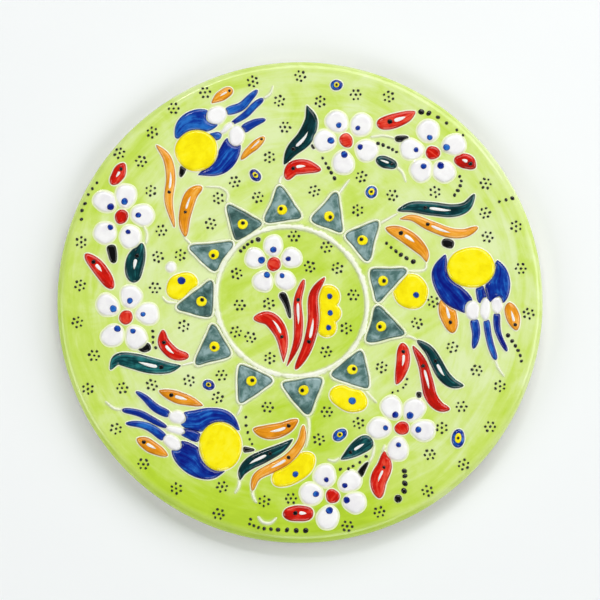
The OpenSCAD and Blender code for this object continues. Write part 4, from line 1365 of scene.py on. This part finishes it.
def enamel_palette() -> dict[str, bpy.types.Material]:
    """Build the enamels, one for each colour the painter used.

    Returns:
        Material by short colour name.
    """
    finishes = {
        "grey": Enamel(
            "grey_glass_enamel_trailed", "#34524E", "#567974", "#93AFAE", "#3F5D5A", streak_along=0.22,
            streak_across=0.3, streak_reach=0.13,
        ),
        "yellow": Enamel(
            "yellow_glass_enamel_trailed", "#F4E000", "#FFF00A", "#FFF430", "#EBD604", streak_along=0.2,
            streak_across=0.3, bump=0.03,
        ),
        "black": Enamel("black_glass_enamel_trailed", "#010101", "#030303", "#101014", "#040404"),
        "red": Enamel("red_glass_enamel_trailed", "#A81404", "#D41404", "#F05A40", "#A01604"),
        "orange": Enamel(
            "orange_glass_enamel_trailed", "#D07C06", "#EE9A1A", "#F9B850", "#BE7008", streak_reach=0.13
        ),
        "teal": Enamel(
            "teal_glass_enamel_trailed", "#012426", "#043B3F", "#2A7C7A", "#022A2C", streak_reach=0.14
        ),
        "white": Enamel(
            "white_tin_enamel_trailed", "#EFEDEE", "#F6F5F3", "#FCFCFA", "#F4F5E2", halo="#EDF4C6",
            streak_along=0.2, streak_across=0.3, bump=0.02,
        ),
        "cobalt": Enamel(
            "cobalt_glass_enamel_trailed", "#04127C", "#08389C", "#2470C6", "#04127A", streak_reach=0.12
        ),
        "cream": Enamel(
            "cream_slip_trailed", "#E9F0C4", "#F4F8DE", "#FCFDF2", "#E6EFBC", halo="#E4EEB0", roughness=0.2
        ),
        "slip": Enamel("black_slip_dotted", "#040503", "#080906", "#16180F", "#060704", roughness=0.16),
    }
    return {key: finish.build() for key, finish in finishes.items()}


def finish_of(slot: str) -> str:
    """Short colour name of the finish for a record slot."""
    table = {
        "cream_slip_line": "cream", "grey_enamel": "grey", "yellow_enamel": "yellow", "black_enamel": "black",
        "black_slip_dots": "slip", "red_enamel": "red", "orange_enamel": "orange", "teal_enamel": "teal",
        "white_enamel": "white", "cobalt_enamel": "cobalt",
    }
    return table[slot]


def slot_map(record: dict) -> dict[str, str]:
    """Material slot of each CAD node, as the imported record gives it."""
    return {part["node"]: part["material_slot"] for part in record["subparts"]}


def lays() -> dict[str, Lay]:
    """How each kind of motif was laid.

    Returns:
        Node-name ending or whole name to its lay, looked up longest first.
    """
    pad = GROUND_Z
    over = GROUND_Z + 0.8
    over_two = GROUND_Z + 1.25
    leaf = Lay(Form.STROKE, pad, 0.95, 1.3, columns=128, levels=12, waver=0.2)
    blob = Lay(Form.BLOB, pad, 0.9, 1.1, columns=88, levels=11, dish=0.06, waver=0.32)
    small_blob = Lay(Form.BLOB, pad, 0.9, 1.1, columns=72, levels=11, dish=0.06, waver=0.12)
    top = {"skirt": 0.0, "edge_lift": 0.0}
    drop = Lay(Form.BLOB, over, 0.42, 0.5, columns=40, levels=8, soften=0.1, waver=0.09, **top)
    dot_on_drop = Lay(Form.BLOB, over_two, 0.42, 0.5, columns=40, levels=8, soften=0.1, waver=0.06, **top)
    return {
        "red_leaves": leaf, "orange_leaves": leaf, "green_leaves": leaf, "centre_red_leaves": leaf,
        "tulip_petals": Lay(Form.STROKE, pad, 0.95, 1.3, columns=120, levels=12, waver=0.16),
        "tulip_fingers": Lay(Form.STROKE, pad, 0.9, 0.9, columns=96, levels=10, waver=0.1),
        "black_calyxes": Lay(Form.STROKE, pad, 0.85, 0.8, columns=112, levels=10, soften=0.15, waver=0.08),
        "centre_yellow_wing": Lay(Form.BLOB, pad, 0.85, 0.9, columns=128, levels=11, waver=0.2),
        "branch_lines": Lay(Form.STROKE, pad, 0.62, 0.48, columns=96, levels=7, skirt=0.25, soften=0.1),
        "leaf_white_streaks": Lay(
            Form.STROKE, over, 0.36, 0.4, columns=48, levels=6, soften=0.08, grow=-0.16, **top
        ),
        "leaf_black_dots": drop, "bud_blue_dots": drop, "crown_yellow_drops": drop, "bead_yellow_drops": drop,
        "crown_black_dots": dot_on_drop, "bead_black_dots": dot_on_drop,
        "crown_petals": Lay(
            Form.BLOB, pad, 0.85, 1.2, columns=112, levels=12, dish=0.05, skirt=0.2, waver=CROWN_WAVER
        ),
        "stamens": Lay(Form.BLOB, over, 0.42, 0.6, columns=40, levels=8, soften=0.12, waver=0.09, **top),
        "blossom_petals": Lay(
            Form.BLOB, pad, 0.85, 1.7, columns=96, levels=13, dish=0.05, skirt=0.75, grow=-0.1, waver=0.3
        ),
        "blossom_centre": Lay(Form.BLOB, pad, 0.9, 1.1, columns=64, levels=10, waver=0.12),
        "tulip_cup": blob, "knuckles": blob, "yellow_buds": blob,
        "white_bud_cap": small_blob, "bead_blue_rings": small_blob,
        "big_row_dots": Lay(
            Form.BLOB, pad, 0.75, 0.9, columns=40, levels=8, skirt=0.2, soften=0.1, waver=0.06
        ),
    }


def main() -> None:
    """Build the plate from the ground up, and report each piece."""
    logging.basicConfig(level=logging.INFO, format="%(name)s %(message)s")
    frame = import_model()
    slots = slot_map(frame["record"])
    Studio().build()
    palette = enamel_palette()
    table = lays()
    work = EnamelWork(frame, slots)
    line = Lay(Form.STROKE, GROUND_Z, 0.7, 0.42, skirt=0.14, edge_lift=0.06, waver=CROWN_WAVER)
    work.outlines_of_crown(line, palette["cream"])
    work.ring(Lay(Form.STROKE, GROUND_Z, 0.85, 0.88, skirt=0.3), palette["cream"])
    plain = {"ceramic_body", "ground_glaze", "cork_pad", "cork_adhesive", "medallion_ring", "crown_outlines"}
    for node in sorted(slots):
        if node in plain:
            continue
        finish = palette[finish_of(slots[node])]
        if node in ("dot_clusters", "dot_rows"):
            work.dots(node, finish)
            continue
        kind = "_".join(w for w in node.split("_") if not w.isdigit())
        key = next(k for k in (node, kind, kind.split("_")[-1]) if k in table)
        work.lay(node, table[key], finish)
    body = PlateBody()
    ground = body.ground(np.vstack(work.all_pads), np.vstack(work.white_pads))
    make_object("ground_glaze_brushed", ground, GroundGlaze().build(), "ground_glaze")
    make_object("clay_disc", body.clay(), BisqueClay().build(), "ceramic_body")
    make_object("cork_sheet", body.cork(), Cork().build(), "cork_pad")
    make_object(
        "adhesive_film", body.adhesive(), ContactAdhesive().build(), "cork_adhesive"
    )


if __name__ == "__main__":
    main()
